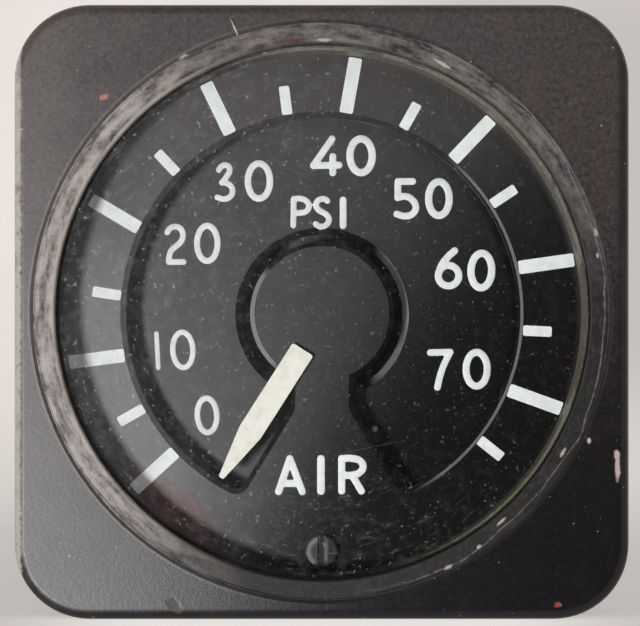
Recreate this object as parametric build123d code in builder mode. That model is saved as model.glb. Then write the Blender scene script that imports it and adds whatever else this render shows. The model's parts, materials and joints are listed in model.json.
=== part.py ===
from build123d import *
from math import asin, cos, degrees, hypot, pi, radians, sin
import os

# Panel-mounted remote-reading pressure gauge, in millimetres.
# The origin is on the instrument's axis, in the plane of the flange's back face, which seats on the
# panel. The dial faces -Y, +Z is its twelve o'clock, and the barrel runs back along +Y.
# A depth is a distance behind the panel plane, so what lies in the flange has a negative one.

# Case: one casting of square flange and round barrel
flange_side = 60.3
flange_corner_radius = 7.4
flange_thickness = 6.4
flange_front_round = 1.1
flange_back_round = 0.4
flange_step = 1.75
barrel_length = 66.0
barrel_wall = 1.2
barrel_end_round = 0.8
ledge_width = 1.4
ledge_thickness = 2.0
seat_step = 1.1
lug_radius = 2.9
lug_length = 11.0
lug_count = 3
lug_inset = 2.6
lug_hole_run_out = 2.0
mouth_chamfer = 0.25

# Front stack: ring, gasket, glass and spacer
ring_recess = 0.4
ring_lip_thickness = 0.8
ring_lip_overhang = 1.0
ring_lip_round = 0.3
ring_skirt_length = 2.4
ring_skirt_gap = 0.35
gasket_thickness = 0.4
gasket_width = 0.6
glass_thickness = 2.0
glass_edge_round = 0.3
spacer_length = 2.6
stack_clearance = 0.2
seat_clearance = 0.1

# Dial: a raised mask over a sunk scale plate
mask_thickness = 1.2
mask_chamfer = 0.5
chapter_width = 6.3
mask_rim_width = 1.3
hub_cover_radius = 7.3
neck_half_width = 3.2
legend_side_offset = 2.3
legend_corner_radius = 1.0
neck_corner_radius = 1.2
recess_depth = 4.4
scale_plate_thickness = 1.2
scale_hole_radius = 8.35
scale_hole_chamfer = 0.65
screw_post_radius = 1.9

# Scale: how far each stop lies from six o'clock, then the clock angle and the lean of each mark as
# it is painted, a long and a short one in turn
stop_angle = 31.5
mark_places = [
    (226.8, 0.8), (241.9, -1.3), (258.6, 4.0), (275.3, 3.4), (295.7, 5.0), (314.2, 2.2),
    (333.1, 1.2), (350.3, 2.4), (7.2, 2.8), (24.1, 5.2), (40.8, 2.7), (57.2, -0.7),
    (77.5, 4.4), (94.7, -2.0), (112.0, -2.2), (128.7, -0.1),
]
mark_height = 0.06
major_mark_length = 5.65
minor_mark_length = 2.9
major_mark_width = 1.36
minor_mark_width = 1.05
mark_corner_radius = 0.2

# Slotted screw at six o'clock on the dial
dial_screw_inset = 3.0
dial_screw_head_radius = 1.6
dial_screw_head_height = 0.8
dial_screw_shank_radius = 0.75
slot_width_share = 0.28
slot_depth_share = 0.5
head_edge_share = 0.25
screw_end_gap = 0.3
clearance_hole_gap = 0.15
thread_gap = 0.05

# Pointer: a cranked strip whose arm comes up through the gap round the hub cover
pointer_thickness = 0.3
pointer_height_over_mask = 0.5
pointer_inner_radius = 4.1
pointer_taper_length = 5.45
pointer_tip_gap = 0.45
pointer_width = 2.45
pointer_tip_width = 0.55
pointer_tip_round = 0.19
pointer_side_set = 0.36
pointer_skew = 1.1
pointer_arm_width = 1.2
pointer_riser_gap = 0.45
pointer_hub_radius = 2.2
pointer_hub_depth_gap = 0.4
pointer_tail_radius = 6.3
pointer_corner_radius = 0.25
balance_radius_from_axis = 5.0
balance_weight_radius = 1.2
balance_rivet_radius = 0.35
collet_radius = 1.7
collet_length = 2.2
collet_chamfer = 0.3

# Movement plate, front bridge and its jewel
movement_plate_thickness = 2.0
movement_plate_hole_radius = 10.0
locating_pin_radius = 0.4
locating_pin_length = 3.2
locating_pin_inset = 0.1
front_bridge_reach = 3.4
front_bridge_width = 7.0
front_bridge_thickness = 2.0
bridge_screw_inset = 1.6
bridge_screw_head_radius = 1.5
bridge_screw_head_height = 0.9
bridge_screw_shank_radius = 0.75
jewel_radius = 1.3
jewel_thickness = 1.4
jewel_sink_share = 0.7
journal_clearance = 0.04
end_play = 0.15

# Spindle, stops and rotor
journal_radius = 0.45
spindle_radius = 0.75
pivot_radius = 0.25
pivot_length = 1.6
pivot_end_gap = 0.1
stop_arm_thickness = 0.7
stop_arm_gap = 0.3
stop_arm_width = 1.0
stop_arm_length = 5.8
stop_collar_radius = 1.9
stop_pin_radius = 0.5
stop_pin_radius_from_axis = 5.0
stop_touch_gap = 0.1
stop_pin_overhang = 0.1
rotor_length = 8.0
rotor_bush_radius = 1.6
rotor_bush_overhang = 0.6
rotor_chamfer = 0.4

# Damping cup
cup_front_gap = 0.4
cup_bottom_thickness = 1.2
cup_coil_gap = 1.4
cup_wall_thickness = 1.8
cup_hole_radius = 1.6
cup_rotor_gap_radial = 1.4
cup_rotor_gap_axial = 4.0
cup_rear_overlap = 1.4

# Stator: a laminated ring with three toroidal windings, held between two moulded rings
carrier_thickness = 1.6
carrier_gap = 0.6
core_width = 5.0
core_length = 10.0
coil_build = 2.2
coil_corner_radius = 0.8
coil_arc = 98.0
coil_count = 3
coil_carrier_gap = 0.4
coil_tie_gap = 0.4
lug_block_width = 3.0
lug_block_inset = 0.4
clamp_overhang = 0.8
bore_gap = 0.2

# Ties that hold the movement together
tie_stud_radius = 0.95
tie_sleeve_radius = 1.8
tie_nut_across_flats = 3.6
tie_nut_height = 1.8
tie_stud_in_plate = 1.4
tie_stud_hole_gap = 0.2
tie_stud_overhang = 0.4
rear_bridge_thickness = 2.0
rear_bridge_hub_radius = 4.6
rear_bridge_arm_width = 5.0
shield_gap = 0.4
shield_wall = 0.6
shield_hole_radius = 7.0
board_sleeve_length = 5.4
board_thickness = 1.6
board_hole_radius = 3.0

# Rear bearing
jewel_screw_radius = 1.75
jewel_screw_slot_depth = 0.8
jewel_screw_overhang = 1.5
rear_jewel_radius = 1.1
rear_jewel_thickness = 1.3
jewel_nut_across_flats = 5.5
jewel_nut_height = 1.2
pull_off_magnet_radius = 1.4
pull_off_magnet_length = 2.6
pull_off_magnet_inset = 3.7

# Terminals and wires
terminal_radius_from_axis = 12.0
terminal_radius = 1.2
terminal_waist_radius = 0.8
terminal_front_length = 1.2
terminal_rear_length = 3.4
wire_radius = 0.35
wire_bend_radius = 1.2
coil_lead_inset = 0.7
coil_lead_inner_radius = 5.8
coil_lead_straight = 2.4
can_pass_half_length = 1.6
terminal_entry_length = 1.8
connector_lead_straight = 3.0

# Rear cover
cover_gasket_thickness = 0.6
cover_thickness = 2.4
cover_inset = 0.2
cover_platform_inset = 9.4
cover_platform_height = 1.2
cover_edge_round = 0.5
cover_screw_head_radius = 2.2
cover_screw_head_height = 1.6
cover_screw_shank_radius = 1.0
cover_screw_grip = 6.5
rear_slot_angle = 20.0

# Receptacle: square flange, threaded shell, insert and pins
receptacle_flange_side = 21.0
receptacle_flange_corner = 2.5
receptacle_flange_thickness = 2.0
receptacle_gasket_thickness = 0.5
receptacle_shell_radius = 8.7
receptacle_shell_wall = 1.4
receptacle_shell_length = 12.0
receptacle_shell_chamfer = 0.5
receptacle_relief_length = 1.5
receptacle_relief_depth = 0.5
receptacle_tail_length = 5.2
receptacle_screw_pitch = 15.9
receptacle_screw_head_radius = 1.6
receptacle_screw_head_height = 1.2
receptacle_screw_shank_radius = 0.9
receptacle_screw_end_gap = 0.4
insert_front_overhang = 0.5
insert_rear_depth = 8.7
insert_clearance = 0.03
pin_radius = 1.0
pin_circle_radius = 4.2
pin_rear_setback = 2.3
pin_front_length = 4.0
pin_end_round = 0.7
keyway_width = 1.6
keyway_depth = 0.6

# Densities in milligrams per cubic millimetre, for the balance of the pointer
aluminium_density = 2.7
brass_density = 8.5

# Radii of the case, of its bore and of what fills the bore
barrel_radius = flange_side / 2 - flange_step
bore_radius = barrel_radius - barrel_wall
ledge_radius = bore_radius - ledge_width
seat_radius = bore_radius + seat_step
lip_radius = bore_radius - ring_lip_overhang
stack_radius = bore_radius - stack_clearance
lug_centre_radius = bore_radius - lug_inset
mask_opening_radius = lip_radius - chapter_width
mark_start_radius = mask_opening_radius + mask_chamfer
dial_screw_radius_from_axis = stack_radius - dial_screw_inset
pointer_tip_radius = mask_opening_radius - pointer_tip_gap
pointer_shoulder_radius = pointer_tip_radius - pointer_taper_length
bridge_screw_radius_from_axis = movement_plate_hole_radius + bridge_screw_inset
front_bridge_half_length = movement_plate_hole_radius + front_bridge_reach
shield_radius = ledge_radius - shield_gap
carrier_radius = shield_radius - shield_wall - carrier_gap
tie_radius_from_axis = carrier_radius - tie_sleeve_radius
cover_platform_radius = barrel_radius - cover_platform_inset

# Radii from the ties inwards: core, windings, damping cup and rotor
core_outer_radius = tie_radius_from_axis - tie_sleeve_radius - coil_tie_gap - coil_build
core_inner_radius = core_outer_radius - core_width
clamp_inner_radius = core_inner_radius - clamp_overhang
coil_lead_start_radius = clamp_inner_radius - coil_lead_inset
pull_off_magnet_radius_from_axis = clamp_inner_radius - pull_off_magnet_inset
cup_flange_radius = core_inner_radius - coil_build
cup_outer_radius = cup_flange_radius - cup_coil_gap
cup_inner_radius = cup_outer_radius - cup_wall_thickness
rotor_radius = cup_inner_radius - cup_rotor_gap_radial
core_middle_radius = (core_inner_radius + core_outer_radius) / 2

# Depths from the front of the flange back to the ledge
flange_front_depth = -flange_thickness
ring_depth = flange_front_depth + ring_recess
gasket_depth = ring_depth + ring_lip_thickness
glass_depth = gasket_depth + gasket_thickness
spacer_depth = glass_depth + glass_thickness
mask_depth = spacer_depth + spacer_length
mask_back_depth = mask_depth + mask_thickness
scale_depth = mask_depth + recess_depth
plate_depth = scale_depth + scale_plate_thickness
ledge_depth = plate_depth + movement_plate_thickness

# Depths of the moving parts
blade_depth = mask_depth - pointer_height_over_mask - pointer_thickness
arm_depth = mask_back_depth + pointer_hub_depth_gap
collet_depth = arm_depth + pointer_thickness
bridge_back_depth = ledge_depth + front_bridge_thickness
shoulder_depth = bridge_back_depth + end_play
stop_arm_depth = bridge_back_depth + stop_arm_gap
cup_depth = stop_arm_depth + stop_arm_thickness + cup_front_gap
cup_bottom_depth = cup_depth + cup_bottom_thickness
carrier_depth = cup_bottom_depth
rotor_depth = cup_bottom_depth + cup_rotor_gap_axial
rotor_back_depth = rotor_depth + rotor_length
cup_end_depth = rotor_back_depth + cup_rear_overlap

# Depths of the stator and of what is stacked on the ties
carrier_back_depth = carrier_depth + carrier_thickness
coil_depth = carrier_back_depth + coil_carrier_gap
core_depth = coil_depth + coil_build
core_back_depth = core_depth + core_length
coil_back_depth = core_back_depth + coil_build
clamp_depth = coil_back_depth + coil_carrier_gap
clamp_back_depth = clamp_depth + carrier_thickness
rear_bridge_back_depth = clamp_back_depth + rear_bridge_thickness
shield_end_depth = rear_bridge_back_depth + tie_nut_height
shield_back_depth = shield_end_depth + shield_wall
board_depth = shield_back_depth + board_sleeve_length
board_back_depth = board_depth + board_thickness
terminal_depth = board_depth - terminal_front_length
terminal_end_depth = board_back_depth + terminal_rear_length
stud_depth = ledge_depth - tie_stud_in_plate
stud_end_depth = board_back_depth + tie_nut_height + tie_stud_overhang
jewel_screw_depth = clamp_back_depth - jewel_screw_overhang
jewel_screw_end_depth = rear_bridge_back_depth + jewel_nut_height + jewel_screw_slot_depth
pivot_end_depth = jewel_screw_depth + rear_jewel_thickness - pivot_end_gap
spindle_end_depth = pivot_end_depth - pivot_length

# Depths of the back of the case
barrel_end_depth = barrel_length
cover_depth = barrel_end_depth + cover_gasket_thickness
cover_back_depth = cover_depth + cover_thickness
platform_depth = cover_back_depth + cover_platform_height
receptacle_depth = platform_depth + receptacle_gasket_thickness
receptacle_flange_back = receptacle_depth + receptacle_flange_thickness
receptacle_end_depth = receptacle_flange_back + receptacle_shell_length
insert_back_depth = receptacle_end_depth - insert_rear_depth
insert_depth = receptacle_depth - receptacle_tail_length - insert_front_overhang
shell_depth = receptacle_depth - receptacle_tail_length
pin_depth = insert_depth - pin_front_length
shell_bore_radius = receptacle_shell_radius - receptacle_shell_wall

# Angles, clockwise from twelve o'clock as the dial is read
pointer_rest_angle = 180 + stop_angle
tie_angles = [360 / coil_count * i for i in range(coil_count)]
coil_angles = [a + 180 / coil_count for a in tie_angles]
lug_angles = [360 / lug_count * (i + 0.5) for i in range(lug_count)]


def level(depth):
    # a plane across the axis, seen from the front: its x is +X and its y is +Z
    return Plane.XZ.offset(-depth)


def pointer_level(depth):
    # the same plane turned so that its x runs out along the pointer at rest
    a = radians(pointer_rest_angle)
    return Plane(origin=(0, depth, 0), x_dir=(sin(a), 0, cos(a)), z_dir=(0, -1, 0))


def radial_plane(angle):
    # a plane through the axis: its x is the depth and its y the radius, at this clock angle
    a = radians(angle)
    return Plane(origin=(0, 0, 0), x_dir=(0, 1, 0), z_dir=(cos(a), 0, -sin(a)))


def clock(radius, angle):
    # a point on a level, from its radius and its clock angle
    return (radius * sin(radians(angle)), radius * cos(radians(angle)))


def turn(profile, mode=Mode.ADD):
    # a closed profile of (depth, radius) corners, turned about the instrument's axis
    with BuildSketch(Plane.YZ) as section:
        with BuildLine():
            Polyline(*profile, close=True)
        make_face()
    revolve(section.sketch, axis=Axis.Y, mode=mode)


def disc(depth, thickness, radius, bore=0, places=((0, 0),), mode=Mode.ADD):
    # discs or sleeves whose front faces lie at this depth
    with BuildSketch(level(depth)) as outline:
        with Locations(*places):
            Circle(radius)
            if bore:
                Circle(bore, mode=Mode.SUBTRACT)
    extrude(outline.sketch, amount=thickness, dir=(0, 1, 0), mode=mode)


def slot_across(depth, thickness, length, width, places=((0, 0),), angle=0):
    # driver slots cut back from this depth
    with BuildSketch(level(depth)) as outline:
        with Locations(*places):
            Rectangle(width, length, rotation=angle)
    extrude(outline.sketch, amount=thickness, dir=(0, 1, 0), mode=Mode.SUBTRACT)


def finish(piece, name):
    piece.part.label = name
    os.makedirs("parts", exist_ok=True)
    export_step(piece.part, f"parts/{name}.step")


# Places on a level
tie_places = [clock(tie_radius_from_axis, a) for a in tie_angles]
terminal_places = [clock(terminal_radius_from_axis, a) for a in coil_angles]
pin_places = [clock(pin_circle_radius, a) for a in coil_angles]
dial_screw_place = (0, -dial_screw_radius_from_axis)
lug_places = [clock(lug_centre_radius, a) for a in lug_angles]
half_pitches = (-receptacle_screw_pitch / 2, receptacle_screw_pitch / 2)
receptacle_screw_places = [(x, z) for x in half_pitches for z in half_pitches]
locating_place = clock(ledge_radius + ledge_width / 2 - locating_pin_inset, 0)
bridge_screw_places = [(0, -bridge_screw_radius_from_axis), (0, bridge_screw_radius_from_axis)]
pin_half_angle = degrees(
    asin((stop_arm_width / 2 + stop_pin_radius + stop_touch_gap) / stop_pin_radius_from_axis)
)
stop_pin_places = [
    clock(stop_pin_radius_from_axis, 180 + side * (stop_angle - pin_half_angle)) for side in (-1, 1)
]

tie_bore = tie_stud_radius + thread_gap

# Case body: the flange's edges are rounded, and the bore steps down to a ledge that carries the movement
seat_floor_depth = gasket_depth + ring_skirt_length + seat_clearance
with BuildPart() as case_body:
    with BuildSketch(level(0)):
        RectangleRounded(flange_side, flange_side, flange_corner_radius)
    extrude(amount=flange_thickness)
    fillet(case_body.faces().sort_by(Axis.Y)[0].edges(), flange_front_round)
    fillet(case_body.faces().sort_by(Axis.Y)[-1].edges(), flange_back_round)
    disc(0, barrel_length, barrel_radius)
    fillet(case_body.faces().sort_by(Axis.Y)[-1].edges(), barrel_end_round)
    turn(
        [
            (flange_front_depth, 0),
            (flange_front_depth, seat_radius),
            (seat_floor_depth, seat_radius),
            (seat_floor_depth, bore_radius),
            (ledge_depth, bore_radius),
            (ledge_depth, ledge_radius),
            (ledge_depth + ledge_thickness, ledge_radius),
            (ledge_depth + ledge_thickness, bore_radius),
            (barrel_length, bore_radius),
            (barrel_length, 0),
        ],
        mode=Mode.SUBTRACT,
    )
    # the seat's front edge is broken, and the cover's screw lugs stand on the barrel wall
    mouth = case_body.faces().sort_by(Axis.Y)[0].inner_wires()
    chamfer(mouth.edges(), mouth_chamfer)
    disc(barrel_length - lug_length, lug_length, lug_radius, places=lug_places)
    lug_hole_depth = barrel_length - cover_screw_grip - lug_hole_run_out
    disc(lug_hole_depth, barrel_length - lug_hole_depth, cover_screw_shank_radius + thread_gap,
         places=lug_places, mode=Mode.SUBTRACT)
    disc(ledge_depth, locating_pin_length / 2, locating_pin_radius + thread_gap,
         places=[locating_place], mode=Mode.SUBTRACT)
finish(case_body, "case_body")

# Retaining ring: a lip over the glass, and a skirt that screws into the seat
with BuildPart() as retaining_ring:
    turn(
        [
            (ring_depth, lip_radius),
            (ring_depth, seat_radius - seat_clearance),
            (gasket_depth + ring_skirt_length, seat_radius - seat_clearance),
            (gasket_depth + ring_skirt_length, stack_radius + ring_skirt_gap),
            (gasket_depth, stack_radius + ring_skirt_gap),
            (gasket_depth, lip_radius),
        ]
    )
    lip_edges = retaining_ring.edges().filter_by(GeomType.CIRCLE).group_by(SortBy.RADIUS)[0]
    fillet(lip_edges.sort_by(Axis.Y)[0], ring_lip_round)
finish(retaining_ring, "retaining_ring")

# Gasket between the ring's lip and the glass
with BuildPart() as glass_gasket:
    disc(gasket_depth, gasket_thickness, stack_radius, bore=stack_radius - gasket_width)
finish(glass_gasket, "glass_gasket")

# Cover glass, flat, with its edges eased
with BuildPart() as cover_glass:
    disc(glass_depth, glass_thickness, stack_radius)
    chamfer(cover_glass.edges(), glass_edge_round)
finish(cover_glass, "cover_glass")

# Spacer ring that holds the glass off the dial and shows as a pale band inside the lip
with BuildPart() as spacer_ring:
    disc(spacer_depth, spacer_length, stack_radius, bore=lip_radius)
finish(spacer_ring, "spacer_ring")

# Dial mask: chapter ring, hub cover, neck and legend panel are one raised piece. The legend panel's
# sides run parallel to the pointer at its two stops, and every edge of the opening is bevelled.
touching = 0.01
stop = radians(stop_angle)
neck_foot = -(legend_side_offset + neck_half_width * cos(stop)) / sin(stop)
panel_reach = mask_opening_radius + mask_rim_width
panel_spread = neck_half_width + (panel_reach + neck_foot) * sin(stop) / cos(stop)
with BuildPart() as dial_mask:
    with BuildSketch(level(mask_depth)) as mask_outline:
        Circle(stack_radius)
        Circle(mask_opening_radius, mode=Mode.SUBTRACT)
        Circle(hub_cover_radius)
        with BuildLine():
            Polyline(
                (-neck_half_width, 0),
                (-neck_half_width, neck_foot),
                (-panel_spread, -panel_reach),
                (panel_spread, -panel_reach),
                (neck_half_width, neck_foot),
                (neck_half_width, 0),
                close=True,
            )
        make_face()
        rim_corners = mask_outline.vertices().filter_by(
            lambda v: abs(hypot(v.X, v.Y) - mask_opening_radius) < touching
        )
        fillet(rim_corners, legend_corner_radius)
        neck_corners = mask_outline.vertices().filter_by(lambda v: abs(v.Y - neck_foot) < touching)
        fillet(neck_corners, neck_corner_radius)
    extrude(amount=-mask_thickness)
    mask_face = dial_mask.faces().sort_by(Axis.Y)[0]
    chamfer(mask_face.inner_wires().edges(), mask_chamfer)
    disc(mask_back_depth, scale_depth - mask_back_depth, stack_radius, bore=stack_radius - mask_rim_width)
    disc(mask_back_depth, scale_depth - mask_back_depth, screw_post_radius, places=[dial_screw_place])
    disc(mask_depth, recess_depth, dial_screw_shank_radius + clearance_hole_gap,
         places=[dial_screw_place], mode=Mode.SUBTRACT)
finish(dial_mask, "dial_mask")

# Scale plate, sunk behind the mask, with a bevelled hole for the hub
with BuildPart() as scale_plate:
    disc(scale_depth, scale_plate_thickness, stack_radius, bore=scale_hole_radius)
    hole_edge = scale_plate.faces().sort_by(Axis.Y)[0].inner_wires().edges()
    chamfer(hole_edge, scale_hole_chamfer)
    disc(scale_depth, scale_plate_thickness, dial_screw_shank_radius + clearance_hole_gap,
         places=[dial_screw_place], mode=Mode.SUBTRACT)
finish(scale_plate, "scale_plate")

# Scale marks: long and short in turn, laid on the mask by hand as thick paint
with BuildPart() as scale_marks:
    with BuildSketch(level(mask_depth - mark_height)) as marks:
        for i, (angle, lean) in enumerate(mark_places):
            length = minor_mark_length if i % 2 else major_mark_length
            width = minor_mark_width if i % 2 else major_mark_width
            with Locations(clock(mark_start_radius + length / 2, angle)):
                RectangleRounded(width, length, mark_corner_radius, rotation=-angle - lean)
    extrude(amount=-mark_height)
finish(scale_marks, "scale_marks")

# Dial screw: slotted cheese head, its shank through mask and scale plate into the movement plate
with BuildPart() as dial_screw:
    disc(mask_depth - dial_screw_head_height, dial_screw_head_height, dial_screw_head_radius,
         places=[dial_screw_place])
    head_rim = dial_screw.faces().sort_by(Axis.Y)[0].edges()
    fillet(head_rim, dial_screw_head_height * head_edge_share)
    disc(mask_depth, ledge_depth - screw_end_gap - mask_depth, dial_screw_shank_radius,
         places=[dial_screw_place])
    slot_across(mask_depth - dial_screw_head_height, dial_screw_head_height * slot_depth_share,
                3 * dial_screw_head_radius, 2 * dial_screw_head_radius * slot_width_share,
                places=[dial_screw_place])
finish(dial_screw, "dial_screw")

# Movement plate, clamped on the case's ledge by the stack in front of it
with BuildPart() as movement_plate:
    disc(plate_depth, movement_plate_thickness, stack_radius, bore=movement_plate_hole_radius)
    disc(plate_depth, movement_plate_thickness, dial_screw_shank_radius + thread_gap,
         places=[dial_screw_place], mode=Mode.SUBTRACT)
    disc(stud_depth - tie_stud_hole_gap, tie_stud_in_plate + tie_stud_hole_gap, tie_bore,
         places=tie_places, mode=Mode.SUBTRACT)
    disc(plate_depth, movement_plate_thickness, bridge_screw_shank_radius + thread_gap,
         places=bridge_screw_places, mode=Mode.SUBTRACT)
    disc(ledge_depth - locating_pin_length / 2, locating_pin_length / 2, locating_pin_radius + thread_gap,
         places=[locating_place], mode=Mode.SUBTRACT)
finish(movement_plate, "movement_plate")

# Locating pin between the movement plate and the ledge, which keeps the dial upright
with BuildPart() as locating_pin:
    disc(ledge_depth - locating_pin_length / 2 + thread_gap, locating_pin_length - 2 * thread_gap,
         locating_pin_radius, places=[locating_place])
    chamfer(locating_pin.edges(), locating_pin_radius / 4)
finish(locating_pin, "locating_pin")

# Front bridge across the plate's hole, with the front jewel in its middle
with BuildPart() as front_bridge:
    with BuildSketch(level(ledge_depth)):
        SlotOverall(2 * front_bridge_half_length, front_bridge_width, rotation=90)
    extrude(amount=-front_bridge_thickness)
    disc(ledge_depth, front_bridge_thickness - jewel_thickness, jewel_radius * jewel_sink_share,
         mode=Mode.SUBTRACT)
    disc(bridge_back_depth - jewel_thickness, jewel_thickness, jewel_radius, mode=Mode.SUBTRACT)
    disc(ledge_depth, front_bridge_thickness, bridge_screw_shank_radius + clearance_hole_gap,
         places=bridge_screw_places, mode=Mode.SUBTRACT)
    disc(ledge_depth, front_bridge_thickness, stop_pin_radius, places=stop_pin_places, mode=Mode.SUBTRACT)
finish(front_bridge, "front_bridge")

# The bridge's two cheese-head screws, heads to the rear
with BuildPart() as front_bridge_screws:
    disc(bridge_back_depth, bridge_screw_head_height, bridge_screw_head_radius, places=bridge_screw_places)
    disc(plate_depth + screw_end_gap, bridge_back_depth - plate_depth - screw_end_gap,
         bridge_screw_shank_radius, places=bridge_screw_places)
    slot_across(bridge_back_depth + bridge_screw_head_height * (1 - slot_depth_share),
                bridge_screw_head_height * slot_depth_share, 3 * bridge_screw_head_radius,
                2 * bridge_screw_head_radius * slot_width_share, places=bridge_screw_places, angle=90)
finish(front_bridge_screws, "front_bridge_screws")

# Front jewel, a ring that the spindle passes through
with BuildPart() as front_jewel:
    disc(bridge_back_depth - jewel_thickness, jewel_thickness, jewel_radius,
         bore=journal_radius + journal_clearance)
finish(front_jewel, "front_jewel")

# Stop pins, pressed in the bridge either side of six o'clock
with BuildPart() as stop_pins:
    disc(ledge_depth, stop_arm_depth + stop_arm_thickness + stop_pin_overhang - ledge_depth,
         stop_pin_radius, places=stop_pin_places)
finish(stop_pins, "stop_pins")

# Pointer: hub, arm and tail under the hub cover, a riser up through the gap, and the blade in front
riser_inner = hub_cover_radius + pointer_riser_gap
riser_outer = riser_inner + pointer_thickness
with BuildPart() as pointer:
    with BuildSketch(pointer_level(arm_depth)):
        Circle(pointer_hub_radius)
        with Locations(((riser_outer - pointer_tail_radius) / 2, 0)):
            Rectangle(riser_outer + pointer_tail_radius, pointer_arm_width)
        with Locations((-balance_radius_from_axis, 0)):
            Circle(balance_weight_radius)
        Circle(journal_radius, mode=Mode.SUBTRACT)
        with Locations((-balance_radius_from_axis, 0)):
            Circle(balance_rivet_radius, mode=Mode.SUBTRACT)
    extrude(amount=-pointer_thickness)
    with BuildSketch(pointer_level(blade_depth)):
        with Locations(((riser_inner + riser_outer) / 2, 0)):
            Rectangle(pointer_thickness, pointer_arm_width)
    extrude(amount=-(arm_depth - blade_depth))
    with BuildSketch(pointer_level(blade_depth)) as blade:
        with Locations((0, pointer_side_set)):
            Polygon(
                (pointer_inner_radius, -pointer_width / 2),
                (pointer_shoulder_radius, -pointer_width / 2),
                (pointer_tip_radius, -pointer_tip_width / 2),
                (pointer_tip_radius, pointer_tip_width / 2),
                (pointer_shoulder_radius, pointer_width / 2),
                (pointer_inner_radius, pointer_width / 2),
                rotation=-pointer_skew,
                align=None,
            )
        fillet(blade.vertices().sort_by(Axis.X)[:2], pointer_corner_radius)
        fillet(blade.vertices().sort_by(Axis.X)[-2:], pointer_tip_round)
    extrude(amount=-pointer_thickness)
finish(pointer, "pointer")

# Collet that grips the spindle's front end and carries the pointer
with BuildPart() as pointer_collet:
    disc(collet_depth, collet_length, collet_radius, bore=journal_radius)
    chamfer(pointer_collet.faces().sort_by(Axis.Y)[-1].outer_wire().edges(), collet_chamfer)
finish(pointer_collet, "pointer_collet")

# Stop arm on the spindle, which runs between the stop pins
with BuildPart() as stop_arm:
    with BuildSketch(pointer_level(stop_arm_depth)) as arm_outline:
        Circle(stop_collar_radius)
        with Locations((stop_arm_length / 2, 0)):
            Rectangle(stop_arm_length, stop_arm_width)
        Circle(spindle_radius, mode=Mode.SUBTRACT)
        fillet(arm_outline.vertices().sort_by(Axis.X)[-2:], stop_arm_width / 4)
    extrude(amount=-stop_arm_thickness)
finish(stop_arm, "stop_arm")

# Balance weight riveted behind the pointer's tail, as long as it takes to balance blade and stop arm
rest = radians(pointer_rest_angle)


def moment_of(piece, density):
    # the piece's mass times how far its centre of mass lies out along the pointer
    centre = piece.part.center(CenterOf.MASS)
    return density * piece.part.volume * (centre.X * sin(rest) + centre.Z * cos(rest))


unbalance = moment_of(pointer, aluminium_density) + moment_of(stop_arm, brass_density)
weight_volume = unbalance / (brass_density * balance_radius_from_axis)
weight_volume -= pi * balance_rivet_radius**2 * pointer_thickness
balance_weight_length = weight_volume / (pi * balance_weight_radius**2)
with BuildPart() as balance_weight:
    with BuildSketch(pointer_level(collet_depth)):
        with Locations((-balance_radius_from_axis, 0)):
            Circle(balance_weight_radius)
    extrude(amount=-balance_weight_length)
    with BuildSketch(pointer_level(arm_depth)):
        with Locations((-balance_radius_from_axis, 0)):
            Circle(balance_rivet_radius)
    extrude(amount=-pointer_thickness)
finish(balance_weight, "balance_weight")

# Spindle: front journal, shoulder behind the front jewel, plain shaft and rear pivot
with BuildPart() as spindle:
    turn(
        [
            (arm_depth, 0),
            (arm_depth, journal_radius),
            (shoulder_depth, journal_radius),
            (shoulder_depth, spindle_radius),
            (spindle_end_depth, spindle_radius),
            (spindle_end_depth + (spindle_radius - pivot_radius) / 2, pivot_radius),
            (pivot_end_depth, pivot_radius),
            (pivot_end_depth, 0),
        ]
    )
finish(spindle, "spindle")

# Rotor: a brass bush with a two-pole disc magnet on it
with BuildPart() as rotor_bush:
    disc(rotor_depth - rotor_bush_overhang, rotor_length + 2 * rotor_bush_overhang,
         rotor_bush_radius, bore=spindle_radius)
finish(rotor_bush, "rotor_bush")

with BuildPart() as rotor_magnet:
    disc(rotor_depth, rotor_length, rotor_radius, bore=rotor_bush_radius)
    rims = rotor_magnet.edges().filter_by(GeomType.CIRCLE).group_by(SortBy.RADIUS)[-1]
    chamfer(rims, rotor_chamfer)
finish(rotor_magnet, "rotor_magnet")

# Damping cup, in which the magnet's swing raises eddy currents; its flange hangs it in the carrier
with BuildPart() as damping_cup:
    turn(
        [
            (cup_depth, cup_hole_radius),
            (cup_depth, cup_flange_radius),
            (cup_bottom_depth, cup_flange_radius),
            (cup_bottom_depth, cup_outer_radius),
            (cup_end_depth, cup_outer_radius),
            (cup_end_depth, cup_inner_radius),
            (cup_bottom_depth, cup_inner_radius),
            (cup_bottom_depth, cup_hole_radius),
        ]
    )
finish(damping_cup, "damping_cup")


def core_blocks(depth, length):
    # blocks in the gaps between the coils, which hold the core clear of the carrier or clamp
    with BuildSketch(level(depth)) as outline:
        for angle in tie_angles:
            with Locations(clock(core_middle_radius, angle)):
                Rectangle(lug_block_width, core_width - 2 * lug_block_inset, rotation=-angle)
    extrude(outline.sketch, amount=length, dir=(0, 1, 0))


# Stator carrier, moulded, with a block behind each gap in the winding
with BuildPart() as stator_carrier:
    disc(carrier_depth, carrier_thickness, carrier_radius, bore=cup_outer_radius + bore_gap)
    core_blocks(carrier_back_depth, core_depth - carrier_back_depth)
    disc(carrier_depth, carrier_thickness, tie_bore, places=tie_places, mode=Mode.SUBTRACT)
finish(stator_carrier, "stator_carrier")

# Stator core, a stack of ring laminations
with BuildPart() as stator_core:
    disc(core_depth, core_length, core_outer_radius, bore=core_inner_radius)
finish(stator_core, "stator_core")


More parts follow.
